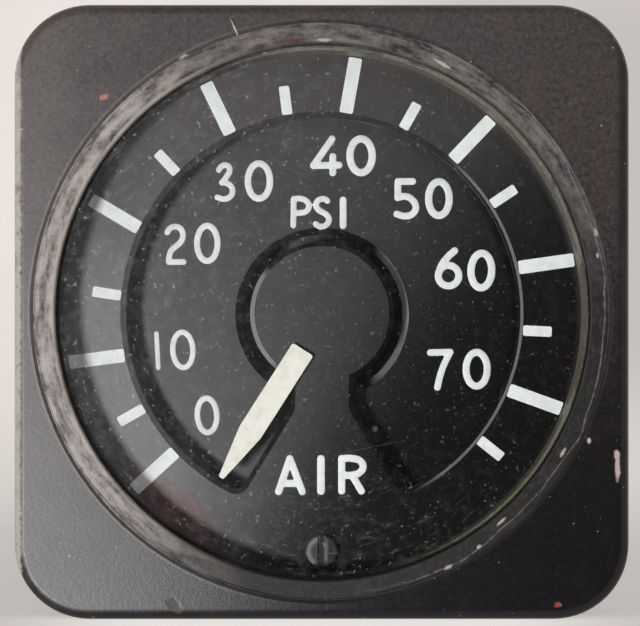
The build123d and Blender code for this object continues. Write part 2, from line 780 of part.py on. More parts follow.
def wind_coil(angle):
    # one toroidal winding, wrapped round a third of the core
    with BuildPart() as coil:
        with BuildSketch(radial_plane(angle - coil_arc / 2)):
            with Locations(((core_depth + core_back_depth) / 2, core_middle_radius)):
                RectangleRounded(core_length + 2 * coil_build, core_width + 2 * coil_build,
                                 coil_corner_radius)
                Rectangle(core_length, core_width, mode=Mode.SUBTRACT)
        revolve(axis=Axis.Y, revolution_arc=coil_arc)
    return coil


for letter, angle in zip("abc", coil_angles):
    finish(wind_coil(angle), f"stator_coil_{letter}")

# Stator clamp, the matching ring on the rear of the core
with BuildPart() as stator_clamp:
    disc(clamp_depth, carrier_thickness, carrier_radius, bore=clamp_inner_radius)
    core_blocks(core_back_depth, clamp_depth - core_back_depth)
    disc(clamp_depth, carrier_thickness, tie_bore, places=tie_places, mode=Mode.SUBTRACT)
finish(stator_clamp, "stator_clamp")

# Ties: three studs from the movement plate to the terminal board, with sleeves that space the stack
with BuildPart() as tie_studs:
    disc(stud_depth, stud_end_depth - stud_depth, tie_stud_radius, places=tie_places)
finish(tie_studs, "tie_studs")

with BuildPart() as front_sleeves:
    disc(ledge_depth, carrier_depth - ledge_depth, tie_sleeve_radius, bore=tie_bore, places=tie_places)
finish(front_sleeves, "front_sleeves")

with BuildPart() as stator_sleeves:
    disc(carrier_back_depth, clamp_depth - carrier_back_depth, tie_sleeve_radius, bore=tie_bore,
         places=tie_places)
finish(stator_sleeves, "stator_sleeves")

with BuildPart() as board_sleeves:
    disc(shield_back_depth, board_sleeve_length, tie_sleeve_radius, bore=tie_bore, places=tie_places)
finish(board_sleeves, "board_sleeves")


def tie_nuts(depth):
    with BuildPart() as nuts:
        with BuildSketch(level(depth)):
            with Locations(*tie_places):
                RegularPolygon(tie_nut_across_flats / 2, 6, major_radius=False)
                Circle(tie_bore, mode=Mode.SUBTRACT)
        extrude(amount=-tie_nut_height)
    return nuts


finish(tie_nuts(rear_bridge_back_depth), "bridge_nuts")
finish(tie_nuts(board_back_depth), "board_nuts")

# Rear bridge, a three-armed spider
with BuildPart() as rear_bridge:
    with BuildSketch(level(clamp_back_depth)):
        Circle(rear_bridge_hub_radius)
        for angle in tie_angles:
            with Locations(clock(tie_radius_from_axis / 2, angle)):
                Rectangle(rear_bridge_arm_width, tie_radius_from_axis, rotation=-angle)
        with Locations(*tie_places):
            Circle(tie_sleeve_radius)
    extrude(amount=-rear_bridge_thickness)
    disc(clamp_back_depth, rear_bridge_thickness, tie_bore, places=tie_places, mode=Mode.SUBTRACT)
    disc(clamp_back_depth, rear_bridge_thickness, jewel_screw_radius, mode=Mode.SUBTRACT)
finish(rear_bridge, "rear_bridge")

# Rear jewel screw, slotted behind and hollow in front for the jewel, with its lock nut
with BuildPart() as rear_jewel_screw:
    disc(jewel_screw_depth, jewel_screw_end_depth - jewel_screw_depth, jewel_screw_radius)
    disc(jewel_screw_depth, rear_jewel_thickness, rear_jewel_radius, mode=Mode.SUBTRACT)
    slot_across(jewel_screw_end_depth - jewel_screw_slot_depth, jewel_screw_slot_depth,
                3 * jewel_screw_radius, 2 * jewel_screw_radius * slot_width_share)
finish(rear_jewel_screw, "rear_jewel_screw")

with BuildPart() as rear_jewel:
    disc(jewel_screw_depth, rear_jewel_thickness, rear_jewel_radius,
         bore=pivot_radius + journal_clearance)
finish(rear_jewel, "rear_jewel")

with BuildPart() as jewel_lock_nut:
    with BuildSketch(level(rear_bridge_back_depth)):
        RegularPolygon(jewel_nut_across_flats / 2, 6, major_radius=False)
        Circle(jewel_screw_radius, mode=Mode.SUBTRACT)
    extrude(amount=-jewel_nut_height)
finish(jewel_lock_nut, "jewel_lock_nut")

# Pull-off magnet on the rear bridge, which draws the pointer below zero when the supply is off
with BuildPart() as pull_off_magnet:
    disc(clamp_back_depth - pull_off_magnet_length, pull_off_magnet_length, pull_off_magnet_radius,
         places=[clock(pull_off_magnet_radius_from_axis, tie_angles[0])])
finish(pull_off_magnet, "pull_off_magnet")

# Screening can round the movement, open to the front
with BuildPart() as screening_can:
    turn(
        [
            (ledge_depth, shield_radius - shield_wall),
            (ledge_depth, shield_radius),
            (shield_back_depth, shield_radius),
            (shield_back_depth, shield_hole_radius),
            (shield_end_depth, shield_hole_radius),
            (shield_end_depth, shield_radius - shield_wall),
        ]
    )
    rims = screening_can.edges().filter_by(GeomType.CIRCLE).group_by(SortBy.RADIUS)[-1]
    fillet(rims.sort_by(Axis.Y)[-1], shield_wall / 2)
    disc(shield_end_depth, shield_wall, tie_bore, places=tie_places, mode=Mode.SUBTRACT)
finish(screening_can, "screening_can")

# Terminal board and its three turret terminals
with BuildPart() as terminal_board:
    disc(board_depth, board_thickness, carrier_radius, bore=board_hole_radius)
    disc(board_depth, board_thickness, tie_bore, places=tie_places, mode=Mode.SUBTRACT)
    disc(board_depth, board_thickness, terminal_waist_radius, places=terminal_places,
         mode=Mode.SUBTRACT)
finish(terminal_board, "terminal_board")

with BuildPart() as terminals:
    disc(terminal_depth, terminal_front_length, terminal_radius, places=terminal_places)
    disc(board_depth, terminal_end_depth - board_depth, terminal_waist_radius, places=terminal_places)
    collar_length = terminal_rear_length / 3
    disc(board_back_depth, collar_length, terminal_radius, places=terminal_places)
    disc(terminal_end_depth - collar_length, collar_length, terminal_radius, places=terminal_places)
finish(terminals, "terminals")


def run_wires(route_points):
    # one insulated wire in the middle plane of each coil, along (depth, radius) points
    with BuildPart() as wires:
        for angle in coil_angles:
            with BuildLine(radial_plane(angle)) as route:
                FilletPolyline(*route_points, radius=wire_bend_radius)
            with BuildSketch(Plane(origin=route.line @ 0, z_dir=route.line % 0)):
                Circle(wire_radius)
            sweep(path=route.line)
    return wires


coil_lead_route = [
    (coil_back_depth, coil_lead_start_radius),
    (coil_back_depth + coil_lead_straight, coil_lead_start_radius),
    (shield_end_depth - can_pass_half_length, coil_lead_inner_radius),
    (shield_end_depth + can_pass_half_length, coil_lead_inner_radius),
    (terminal_depth - terminal_entry_length, terminal_radius_from_axis),
    (terminal_depth, terminal_radius_from_axis),
]
finish(run_wires(coil_lead_route), "coil_leads")

connector_lead_route = [
    (terminal_end_depth, terminal_radius_from_axis),
    (terminal_end_depth + connector_lead_straight, terminal_radius_from_axis),
    (pin_depth - connector_lead_straight, pin_circle_radius),
    (pin_depth, pin_circle_radius),
]
finish(run_wires(connector_lead_route), "connector_leads")

# Rear cover, its gasket and screws
with BuildPart() as cover_gasket:
    disc(barrel_end_depth, cover_gasket_thickness, barrel_radius - barrel_end_round,
         bore=lug_centre_radius - lug_radius)
    disc(barrel_end_depth, cover_gasket_thickness, cover_screw_shank_radius + clearance_hole_gap,
         places=lug_places, mode=Mode.SUBTRACT)
finish(cover_gasket, "cover_gasket")

with BuildPart() as rear_cover:
    disc(cover_depth, cover_thickness, barrel_radius - cover_inset)
    fillet(rear_cover.faces().sort_by(Axis.Y)[-1].edges(), cover_edge_round)
    disc(cover_back_depth, cover_platform_height, cover_platform_radius)
    chamfer(rear_cover.faces().sort_by(Axis.Y)[-1].edges(), cover_platform_height / 2)
    disc(cover_depth, platform_depth - cover_depth, receptacle_shell_radius + clearance_hole_gap,
         mode=Mode.SUBTRACT)
    disc(cover_depth, cover_thickness, cover_screw_shank_radius + clearance_hole_gap, places=lug_places,
         mode=Mode.SUBTRACT)
    disc(cover_depth, platform_depth - cover_depth, receptacle_screw_shank_radius + thread_gap,
         places=receptacle_screw_places, mode=Mode.SUBTRACT)
finish(rear_cover, "rear_cover")


def rear_screws(places, seat_depth, head_radius, head_height, shank_radius, shank_length):
    # cheese-head screws whose slotted heads face the rear
    with BuildPart() as screws:
        disc(seat_depth, head_height, head_radius, places=places)
        fillet(screws.faces().group_by(Axis.Y)[-1].edges(), head_height * head_edge_share)
        disc(seat_depth - shank_length, shank_length, shank_radius, places=places)
        slot_across(seat_depth + head_height * (1 - slot_depth_share), head_height * slot_depth_share,
                    3 * head_radius, 2 * head_radius * slot_width_share, places=places,
                    angle=rear_slot_angle)
    return screws


cover_shank_length = cover_thickness + cover_gasket_thickness + cover_screw_grip
cover_screws = rear_screws(lug_places, cover_back_depth, cover_screw_head_radius,
                           cover_screw_head_height, cover_screw_shank_radius, cover_shank_length)
finish(cover_screws, "cover_screws")

# Receptacle gasket, shell, insert, pins and screws
with BuildPart() as receptacle_gasket:
    with BuildSketch(level(platform_depth)):
        RectangleRounded(receptacle_flange_side, receptacle_flange_side, receptacle_flange_corner)
        Circle(receptacle_shell_radius + clearance_hole_gap, mode=Mode.SUBTRACT)
        with Locations(*receptacle_screw_places):
            Circle(receptacle_screw_shank_radius + clearance_hole_gap, mode=Mode.SUBTRACT)
    extrude(amount=-receptacle_gasket_thickness)
finish(receptacle_gasket, "receptacle_gasket")

relief_end_depth = receptacle_flange_back + receptacle_relief_length
with BuildPart() as receptacle_shell:
    with BuildSketch(level(receptacle_depth)):
        RectangleRounded(receptacle_flange_side, receptacle_flange_side, receptacle_flange_corner)
        with Locations(*receptacle_screw_places):
            Circle(receptacle_screw_shank_radius + clearance_hole_gap, mode=Mode.SUBTRACT)
    extrude(amount=-receptacle_flange_thickness)
    turn(
        [
            (shell_depth, 0),
            (shell_depth, receptacle_shell_radius),
            (receptacle_flange_back, receptacle_shell_radius),
            (receptacle_flange_back, receptacle_shell_radius - receptacle_relief_depth),
            (relief_end_depth, receptacle_shell_radius - receptacle_relief_depth),
            (relief_end_depth, receptacle_shell_radius),
            (receptacle_end_depth - receptacle_shell_chamfer, receptacle_shell_radius),
            (receptacle_end_depth, receptacle_shell_radius - receptacle_shell_chamfer),
            (receptacle_end_depth, 0),
        ]
    )
    disc(shell_depth, receptacle_end_depth - shell_depth, shell_bore_radius, mode=Mode.SUBTRACT)
    with BuildSketch(level(insert_back_depth)):
        with Locations((0, shell_bore_radius)):
            Rectangle(keyway_width, 2 * keyway_depth)
    extrude(amount=-insert_rear_depth, mode=Mode.SUBTRACT)
finish(receptacle_shell, "receptacle_shell")

with BuildPart() as receptacle_insert:
    disc(insert_depth, insert_back_depth - insert_depth, shell_bore_radius - insert_clearance)
    disc(insert_depth, insert_back_depth - insert_depth, pin_radius + insert_clearance, places=pin_places,
         mode=Mode.SUBTRACT)
finish(receptacle_insert, "receptacle_insert")

with BuildPart() as receptacle_pins:
    disc(pin_depth, receptacle_end_depth - pin_rear_setback - pin_depth, pin_radius, places=pin_places)
    fillet(receptacle_pins.faces().group_by(Axis.Y)[-1].edges(), pin_end_round)
finish(receptacle_pins, "receptacle_pins")

receptacle_shank_length = receptacle_flange_back - cover_depth - receptacle_screw_end_gap
receptacle_screws = rear_screws(receptacle_screw_places, receptacle_flange_back,
                                receptacle_screw_head_radius, receptacle_screw_head_height,
                                receptacle_screw_shank_radius, receptacle_shank_length)
finish(receptacle_screws, "receptacle_screws")
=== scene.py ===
import bpy
import json
import math
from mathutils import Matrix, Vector


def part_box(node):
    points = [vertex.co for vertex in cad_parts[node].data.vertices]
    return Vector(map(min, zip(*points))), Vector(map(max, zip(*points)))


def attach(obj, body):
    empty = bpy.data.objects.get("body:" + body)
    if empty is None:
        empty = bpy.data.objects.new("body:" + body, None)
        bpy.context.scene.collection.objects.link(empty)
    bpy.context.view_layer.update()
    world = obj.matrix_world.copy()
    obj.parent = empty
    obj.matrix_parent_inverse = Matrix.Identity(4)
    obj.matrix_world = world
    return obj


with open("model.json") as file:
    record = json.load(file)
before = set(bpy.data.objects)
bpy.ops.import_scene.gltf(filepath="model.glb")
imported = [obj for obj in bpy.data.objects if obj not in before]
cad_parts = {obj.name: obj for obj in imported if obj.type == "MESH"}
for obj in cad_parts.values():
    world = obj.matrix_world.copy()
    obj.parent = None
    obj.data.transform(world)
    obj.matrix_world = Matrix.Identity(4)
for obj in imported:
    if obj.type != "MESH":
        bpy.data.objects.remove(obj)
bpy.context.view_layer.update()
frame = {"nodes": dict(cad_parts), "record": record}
print("frame loaded,", len(frame["nodes"]), "nodes")

mm = 0.001


def tone(red, green, blue):
    # a screen colour as the linear colour that a shader wants
    def straight(value):
        value /= 255
        return value / 12.92 if value <= 0.04045 else ((value + 0.055) / 1.055) ** 2.4
    return (straight(red), straight(green), straight(blue), 1.0)


# shader maths: a number that varies over a surface, with + - * / and powers
class Field:
    def __init__(self, finish, socket):
        self.finish, self.socket = finish, socket

    def __add__(self, other):
        return self.finish.maths("ADD", self, other)

    def __sub__(self, other):
        return self.finish.maths("SUBTRACT", self, other)

    def __mul__(self, other):
        return self.finish.maths("MULTIPLY", self, other)

    def __truediv__(self, other):
        return self.finish.maths("DIVIDE", self, other)

    def __pow__(self, other):
        return self.finish.maths("POWER", self, other)

    def __rsub__(self, other):
        return self.finish.maths("SUBTRACT", other, self)

    def __neg__(self):
        return self.finish.maths("MULTIPLY", self, -1.0)

    __radd__, __rmul__ = __add__, __mul__


# a material's nodes, made one by one and kept where they are used again
class Finish:
    def __init__(self, name, tree=None):
        if tree is None:
            self.material = bpy.data.materials.new(name)
            self.material.use_nodes = True
            tree = self.material.node_tree
        tree.nodes.clear()
        self.tree = tree
        self.made = {}

    def node(self, kind, settings=None, inputs=None):
        made = self.tree.nodes.new(kind)
        for key, value in (settings or {}).items():
            if key == "stops":
                ramp = made.color_ramp
                while len(ramp.elements) < len(value):
                    ramp.elements.new(1.0)
                for element, (place, colour) in zip(ramp.elements, value):
                    element.position, element.color = place, colour
            else:
                setattr(made, key, value)
        for key, value in (inputs or {}).items():
            socket = made.inputs[key]
            if isinstance(value, Field):
                self.tree.links.new(value.socket, socket)
            elif isinstance(value, bpy.types.NodeSocket):
                self.tree.links.new(value, socket)
            else:
                socket.default_value = value
        return made

    def maths(self, operation, a, b=0.0):
        made = self.node("ShaderNodeMath", {"operation": operation}, {0: a, 1: b})
        return Field(self, made.outputs[0])

    def larger(self, a, b):
        return self.maths("MAXIMUM", a, b)

    def place(self):
        # the piece's own coordinates, in millimetres
        if "place" not in self.made:
            coords = self.node("ShaderNodeTexCoord")
            scaled = self.node("ShaderNodeMapping", None, {
                "Vector": coords.outputs["Object"], "Scale": (1 / mm, 1 / mm, 1 / mm)})
            self.made["place"] = scaled.outputs[0]
        return self.made["place"]

    def axis(self, index):
        if "axes" not in self.made:
            split = self.node("ShaderNodeSeparateXYZ", None, {0: self.place()})
            self.made["axes"] = [Field(self, out) for out in split.outputs]
        return self.made["axes"][index]

    def radius(self):
        if "radius" not in self.made:
            x, z = self.axis(0), self.axis(2)
            self.made["radius"] = (x * x + z * z) ** 0.5
        return self.made["radius"]

    def clockAngle(self):
        # turns round the dial, 0 to 1 clockwise from twelve
        if "clock" not in self.made:
            turn = self.maths("ARCTAN2", self.axis(0), self.axis(2)) / (2 * math.pi)
            self.made["clock"] = self.maths("FRACT", turn + 1.0)
        return self.made["clock"]

    def noise(self, scale, detail=3.0, rough=0.55, shift=(0, 0, 0), stretch=(1, 1, 1)):
        moved = self.node("ShaderNodeMapping", None, {
            "Vector": self.place(), "Location": shift, "Scale": stretch})
        made = self.node("ShaderNodeTexNoise", None, {
            "Vector": moved.outputs[0], "Scale": scale, "Detail": detail, "Roughness": rough})
        return Field(self, made.outputs[0])

    def patterns(self, table):
        # one noise for each row of a table
        return [self.noise(*row) for row in table.values()]

    def swirl(self, around, across, detail=3.0, rough=0.6):
        # a pattern drawn out round the dial's axis
        x, z, radius = self.axis(0), self.axis(2), self.radius()
        way = self.node("ShaderNodeCombineXYZ", None, {
            0: x / radius * around, 1: z / radius * around, 2: radius * across})
        made = self.node("ShaderNodeTexNoise", None, {
            "Vector": way.outputs[0], "Scale": 1.0, "Detail": detail, "Roughness": rough})
        return Field(self, made.outputs[0])

    def arc(self, start, end, soft):
        # 1 between two clock angles, 0 elsewhere
        clock = self.clockAngle()
        return self.smooth(clock, start, start + soft) * self.smooth(clock, end - soft, end, 1.0, 0.0)

    def smooth(self, value, low, high, toLow=0.0, toHigh=1.0):
        made = self.node("ShaderNodeMapRange", {"interpolation_type": "SMOOTHSTEP"}, {
            0: value, 1: low, 2: high, 3: toLow, 4: toHigh})
        return Field(self, made.outputs[0])

    def spot(self, x, z, wide, high=None, turned=0.0, ragged=0.0, soft=0.35):
        # a patch on the front: 1 inside and 0 outside, with a ragged edge
        high = high or wide
        c, s = math.cos(math.radians(turned)), math.sin(math.radians(turned))
        across, up = self.axis(0) - x, self.axis(2) - z
        u = (across * c + up * s) / (wide / 2)
        v = (up * c - across * s) / (high / 2)
        away = (u * u + v * v) ** 0.5
        if ragged:
            away = away + (self.noise(2.6, 3, 0.6) - 0.5) * ragged
        return self.smooth(away, 1 - soft, 1 + soft, 1.0, 0.0)

    def chip(self, colour, v, grain, within=1.0):
        # the table's chips laid over a colour, and how much each one shows
        shown = []
        for shade, x, z, wide, high, turned in v["chips"]:
            spot = self.spot(x, z, wide, high, turned, *v["chipEdge"]) * within
            colour = self.mix(spot * (0.35 + grain * 0.7), colour, v[shade])
            shown.append(spot)
        return colour, shown

    def mix(self, factor, a, b):
        made = self.node("ShaderNodeMix", {"data_type": "RGBA"}, {0: factor, 6: a, 7: b})
        return made.outputs[2]

    def ramp(self, value, stops):
        return self.node("ShaderNodeValToRGB", {"stops": stops}, {0: value}).outputs[0]

    def bump(self, height, strength, distance):
        made = self.node("ShaderNodeBump", None, {
            "Strength": strength, "Distance": distance, "Height": height})
        return made.outputs[0]

    def surface(self, colour, roughness, metallic, normal, specular=0.5, coat=0.0):
        shader = self.node("ShaderNodeBsdfPrincipled", None, {
            "Base Color": colour, "Roughness": roughness, "Metallic": metallic, "Normal": normal,
            "Specular IOR Level": specular, "Coat Weight": coat})
        return self.show(shader.outputs[0])

    def show(self, shader):
        self.node("ShaderNodeOutputMaterial", None, {"Surface": shader})
        return self.material


# the camera: nearly square on to the dial, from 175 mm in front of the flange
cameraValues = {"place": (0.9, -181.4, -5.1), "lens": 100.8, "sensor": 36.0, "shift": (-0.017, 0.0795),
                "near": 0.005, "far": 20}


def makeCamera(v):
    bpy.ops.object.camera_add(location=[c * mm for c in v["place"]], rotation=(math.pi / 2, 0, 0))
    camera = bpy.context.object
    camera.data.lens, camera.data.sensor_width = v["lens"], v["sensor"]
    camera.data.shift_x, camera.data.shift_y = v["shift"]
    camera.data.clip_start, camera.data.clip_end = v["near"], v["far"]
    bpy.context.scene.camera = camera


makeCamera(cameraValues)
bpy.context.scene.view_settings.view_transform = "Standard"
print("camera placed")


# light: one round lamp to the left and a little below, and a plain dim room
lightValues = {
    "towards": (-0.359, -0.914, -0.191), "away": 0.7, "size": 0.11, "power": 3.6,
    "room": 0.36, "roomTint": (1.0, 0.985, 0.965, 1.0), "dark": 0.03, "darkFrom": (0.80, 0.95),
    "panel": 0.66, "panelTint": (1.0, 0.90, 0.84, 1.0), "panelFoot": (0.075, 0.16),
    "wall": 0.60, "wallTint": (1.0, 0.97, 0.935, 1.0),
}


def makeLight(v):
    place = Vector(v["towards"]).normalized() * v["away"]
    bpy.ops.object.light_add(type="AREA", location=place)
    lamp = bpy.context.object
    lamp.data.shape, lamp.data.size, lamp.data.energy = "DISK", v["size"], v["power"]
    lamp.rotation_euler = place.to_track_quat("Z", "Y").to_euler()
    world = bpy.data.worlds.new("room")
    bpy.context.scene.world = world
    world.use_nodes = True
    room = Finish("room", world.node_tree)
    way = room.node("ShaderNodeTexCoord").outputs["Generated"]
    split = room.node("ShaderNodeSeparateXYZ", None, {0: way})
    forward, up = Field(room, split.outputs[1]), Field(room, split.outputs[2])
    # the room is dark behind the camera, with a pale panel over it
    front = room.smooth(-forward, *v["darkFrom"])
    panel = front * room.smooth(up, *v["panelFoot"])
    level = room.smooth(front, 0, 1, v["room"], v["dark"])
    level = level * (1 - panel) + panel * v["panel"]
    tint = room.mix(panel, v["roomTint"], v["panelTint"])
    # past the paper's edge the camera sees a plain wall of the paper's colour
    seen = Field(room, room.node("ShaderNodeLightPath").outputs["Is Camera Ray"])
    level = level * (1 - seen) + seen * v["wall"]
    tint = room.mix(seen, tint, v["wallTint"])
    light = room.node("ShaderNodeBackground", None, {"Color": tint, "Strength": level})
    room.node("ShaderNodeOutputWorld", None, {"Surface": light.outputs[0]})


makeLight(lightValues)


# small helpers: nothing selected, and a piece's place or modifiers worked into its mesh
def startMesh():
    if bpy.context.object and bpy.context.object.mode != "OBJECT":
        bpy.ops.object.mode_set(mode="OBJECT")
    bpy.ops.object.select_all(action="DESELECT")


def applyPlace(piece):
    startMesh()
    piece.select_set(True)
    bpy.context.view_layer.objects.active = piece
    bpy.ops.object.transform_apply(location=True, rotation=True, scale=True)


def applyModifiers(piece):
    startMesh()
    piece.select_set(True)
    bpy.context.view_layer.objects.active = piece
    for each in list(piece.modifiers):
        bpy.ops.object.modifier_apply(modifier=each.name)


# floor and backdrop: one pale sheet, folded up behind the object
sheetValues = {
    "floor": -30.15, "fold": 118.0, "half": 900.0, "front": -700.0, "high": 900.0,
    "foldRound": 45.0, "foldSteps": 16, "close": 1e-6, "colour": tone(186, 181, 176),
    "dusk": tone(172, 166, 163), "clouds": (0.05, 2), "mottle": (0.3, 0.7, 0.0, 0.5), "glow": 0.42,
    "glowTint": tone(255, 249, 244), "light_pool": 0.27, "poolReach": (18.0, 36.0), "poolBack": (-6.0, -1.0),
    "mirrored": (8.0, 40.0),
}


def makeSheet(v):
    startMesh()
    depth = v["fold"] - v["front"]
    bpy.ops.mesh.primitive_plane_add(
        size=1, location=(0, (v["fold"] + v["front"]) / 2 * mm, v["floor"] * mm))
    sheet = bpy.context.object
    sheet.name = "floor_sheet"
    sheet.scale = (2 * v["half"] * mm, depth * mm, 1)
    applyPlace(sheet)
    fold = v["fold"] * mm
    bpy.ops.object.mode_set(mode="EDIT")
    bpy.ops.mesh.select_mode(type="EDGE")
    bpy.ops.object.mode_set(mode="OBJECT")
    corners = sheet.data.vertices
    for part in (sheet.data.vertices, sheet.data.edges, sheet.data.polygons):
        part.foreach_set("select", [False] * len(part))
    for edge in sheet.data.edges:
        edge.select = all(abs(corners[i].co.y - fold) < v["close"] for i in edge.vertices)
    bpy.ops.object.mode_set(mode="EDIT")
    bpy.ops.mesh.extrude_region_move(TRANSFORM_OT_translate={"value": (0, 0, v["high"] * mm)})
    bpy.ops.mesh.select_mode(type="FACE")
    bpy.ops.object.mode_set(mode="OBJECT")
    for edge in sheet.data.edges:
        edge.select = all(
            abs(corners[i].co.y - fold) < v["close"] and abs(corners[i].co.z - v["floor"] * mm) < v["close"]
            for i in edge.vertices)
    bpy.ops.object.mode_set(mode="EDIT")
    bpy.ops.mesh.select_mode(type="EDGE")
    bpy.ops.mesh.bevel(offset=v["foldRound"] * mm, segments=v["foldSteps"], affect="EDGES")
    bpy.ops.object.mode_set(mode="OBJECT")
    bpy.ops.object.shade_smooth()
    paper = Finish("paper")
    clouds = paper.smooth(paper.noise(*v["clouds"]), *v["mottle"])
    colour = paper.mix(clouds, v["colour"], v["dusk"])
    plain = paper.node("ShaderNodeBsdfDiffuse", None, {"Color": colour})
    # a painted pool of light makes the paper lightest just before the object's foot
    away = (paper.axis(0) ** 2 + paper.axis(1) ** 2) ** 0.5
    light_pool = paper.smooth(away, *v["poolReach"], v["light_pool"], 0.0)
    light_pool = light_pool * paper.smooth(paper.axis(1), *v["poolBack"], 1.0, 0.0)
    level = light_pool + v["glow"]
    glow = paper.node("ShaderNodeEmission", None, {"Color": v["glowTint"], "Strength": level})
    lit = paper.node("ShaderNodeAddShader", None, {0: plain.outputs[0], 1: glow.outputs[0]})
    clear = paper.node("ShaderNodeBsdfTransparent")
    # the sheet shows its front alone, and lets the room's light by
    path = paper.node("ShaderNodeLightPath")
    kinds = ("Is Camera Ray", "Is Glossy Ray", "Is Transmission Ray")
    camera, glossy, through = (Field(paper, path.outputs[kind]) for kind in kinds)
    behind = Field(paper, paper.node("ShaderNodeNewGeometry").outputs["Backfacing"])
    # polished faces mirror the paper behind the dial, and not what lies before it
    mirrored = glossy * paper.smooth(paper.axis(1), *v["mirrored"])
    solid = paper.larger(paper.larger(camera, mirrored), through) * (1 - behind)
    both = paper.node("ShaderNodeMixShader", None, {0: solid, 1: clear.outputs[0], 2: lit.outputs[0]})
    sheet.data.materials.append(paper.show(both.outputs[0]))


makeSheet(sheetValues)
print("stage made")


# paint on the case: dull black, worn through to grey-brown, with a painted sheen at the left and the top, a
# painted highlight on the left edge and painted shade on the right and lower edges
caseValues = {
    "black": tone(15, 13, 14), "brown": tone(70, 58, 56), "grey": tone(128, 119, 117),
    "salmon": tone(190, 128, 112), "pink": tone(216, 186, 180), "red": tone(150, 40, 44),
    "pale": tone(205, 200, 190), "glossy": 0.22, "dull": 0.40, "specular": 0.62,
    "strayLeft": 26.0, "strayTop": 20.0, "ragged": 0.6, "chipEdge": (1.3, 0.4), "bump": (0.42, 0.05 * mm),
    # patterns: how fine, how many layers, how rough, and how far shifted
    "patterns": {
        "cloud": (0.16, 4, 0.6), "grain": (2.2, 4, 0.7), "fine": (9.0, 2, 0.6),
        "nicks": (1.15, 5, 0.75, (7, 3, 1)), "warm": (0.42, 3, 0.6, (2, 9, 1)),
        "pits": (1.35, 3, 0.6, (5, 2, 7)), "flecks": (2.6, 2, 0.5, (1, 8, 4)),
    },
    # where each kind of wear begins and ends
    "limits": {
        "front": (-5.2, -4.6, 1.0, 0.0), "left": (-2.0, 36.0), "foot": (-34.0, 2.0, 0.26, 1.0),
        "top": (-24.0, 18.0, 0.0, 0.56), "rim_highlight": (29.2, 29.6), "rimFront": (-5.9, -5.2, 1.0, 0.0),
        "edge_shade": (28.7, 29.9), "grey_wear_and_sheen": (0.50, 1.12), "mouth": (28.7, 28.8, 1.0, 0.0),
        "mouthLeft": (-16.0, 0.0, 1.0, 0.0), "nicks": (0.735, 0.765), "warm": (0.46, 0.70),
        "pits": (0.60, 0.72, 0.0, 0.45), "flecks": (0.735, 0.79, 0.0, 0.75), "shine": (-12.0, 32.0),
    },
    # how strongly each one shows
    "much": {
        "brown": 0.42, "grey": 0.37, "mouth": 0.10, "edge_shade": 0.85, "rim_highlight": 0.7, "nicks": 0.8,
        "warm": 0.5, "warmLeast": 0.04,
    },
    # chips that the front shows: colour, x, z, wide, high, turned
    "chips": [
        ("salmon", -21.3, 20.9, 0.9, 0.55, 20), ("pink", 28.9, -15.3, 0.5, 2.2, 0),
        ("red", 23.0, -28.6, 0.7, 0.5, 0), ("brown", -14.4, -28.7, 1.7, 0.9, -52),
        ("pink", 28.8, -13.9, 0.55, 0.8, 0), ("pale", -13.5, 24.9, 0.9, 0.35, 30),
        ("pale", 26.1, -12.6, 0.35, 0.5, 0), ("pale", -8.3, 27.2, 0.16, 2.6, 24),
        ("pale", -12.9, 24.5, 0.3, 0.25, 0), ("pale", 18.9, 20.8, 0.3, 0.3, 0),
    ],
}


def casePaint(v):
    paint = Finish("case_paint")
    limits, much = v["limits"], v["much"]
    x, y, z = paint.axis(0), paint.axis(1), paint.axis(2)
    cloud, grain, fine, nicks, warm, pits, flecks = paint.patterns(v["patterns"])
    stray, ragged = cloud - 0.5, (grain - 0.5) * v["ragged"]
    front = paint.smooth(y, *limits["front"])
    # worn on the left and the lower left where hands met it, and lighter there and at the top as a painted
    # sheen
    wear_and_sheen = paint.smooth(stray * v["strayLeft"] - x, *limits["left"]) * paint.smooth(z, *limits["foot"])
    wear_and_sheen = paint.larger(wear_and_sheen, paint.smooth(z + stray * v["strayTop"], *limits["top"])) * front
    # a painted highlight makes the left edge pale, and painted shade keeps the right and lower edges black
    rim_highlight = paint.smooth(ragged - x, *limits["rim_highlight"]) * paint.smooth(y, *limits["rimFront"])
    edge_shade = paint.smooth(paint.larger(x, -z) + ragged, *limits["edge_shade"])
    # the grey wear follows the painted sheen, and is less on the edges held in painted shade
    grey_wear_and_sheen = paint.smooth(grain * 0.8 + wear_and_sheen * 0.55 - edge_shade * 0.3, *limits["grey_wear_and_sheen"])
    colour = paint.mix(wear_and_sheen * much["brown"] * (0.6 + grain * 0.8), v["black"], v["brown"])
    colour = paint.mix(grey_wear_and_sheen * much["grey"], colour, v["grey"])
    # the mouth's bevel holds pale dirt at the left
    mouth = paint.smooth(paint.radius(), *limits["mouth"]) * paint.smooth(x, *limits["mouthLeft"]) * front
    colour = paint.mix(mouth * much["mouth"], colour, v["pale"])
    colour = paint.mix(edge_shade * much["edge_shade"], colour, v["black"])
    colour = paint.mix(rim_highlight * much["rim_highlight"], colour, v["pale"])
    hurt = paint.smooth(nicks, *limits["nicks"])
    colour = paint.mix(hurt * much["nicks"], colour, v["brown"])
    # warm clouds, dark pits and pale flecks
    warm = paint.smooth(warm, *limits["warm"]) * front
    colour = paint.mix(warm * (wear_and_sheen * much["warm"] + much["warmLeast"]), colour, v["brown"])
    colour = paint.mix(paint.smooth(pits, *limits["pits"]), colour, v["black"])
    colour = paint.mix(paint.smooth(flecks, *limits["flecks"]) * front, colour, v["pale"])
    colour, chips = paint.chip(colour, v, grain, front)
    for chip in chips:
        hurt = paint.larger(hurt, chip)
    polish = paint.smooth(x - z * 0.7, *limits["shine"], v["dull"], v["glossy"])
    roughness = polish + (grain - 0.5) * 0.14 + hurt * 0.25
    height = grain * 0.55 + fine * 0.25 - hurt * 1.1 + cloud * 0.5
    return paint.surface(colour, roughness, 0.0, paint.bump(height, *v["bump"]), v["specular"])
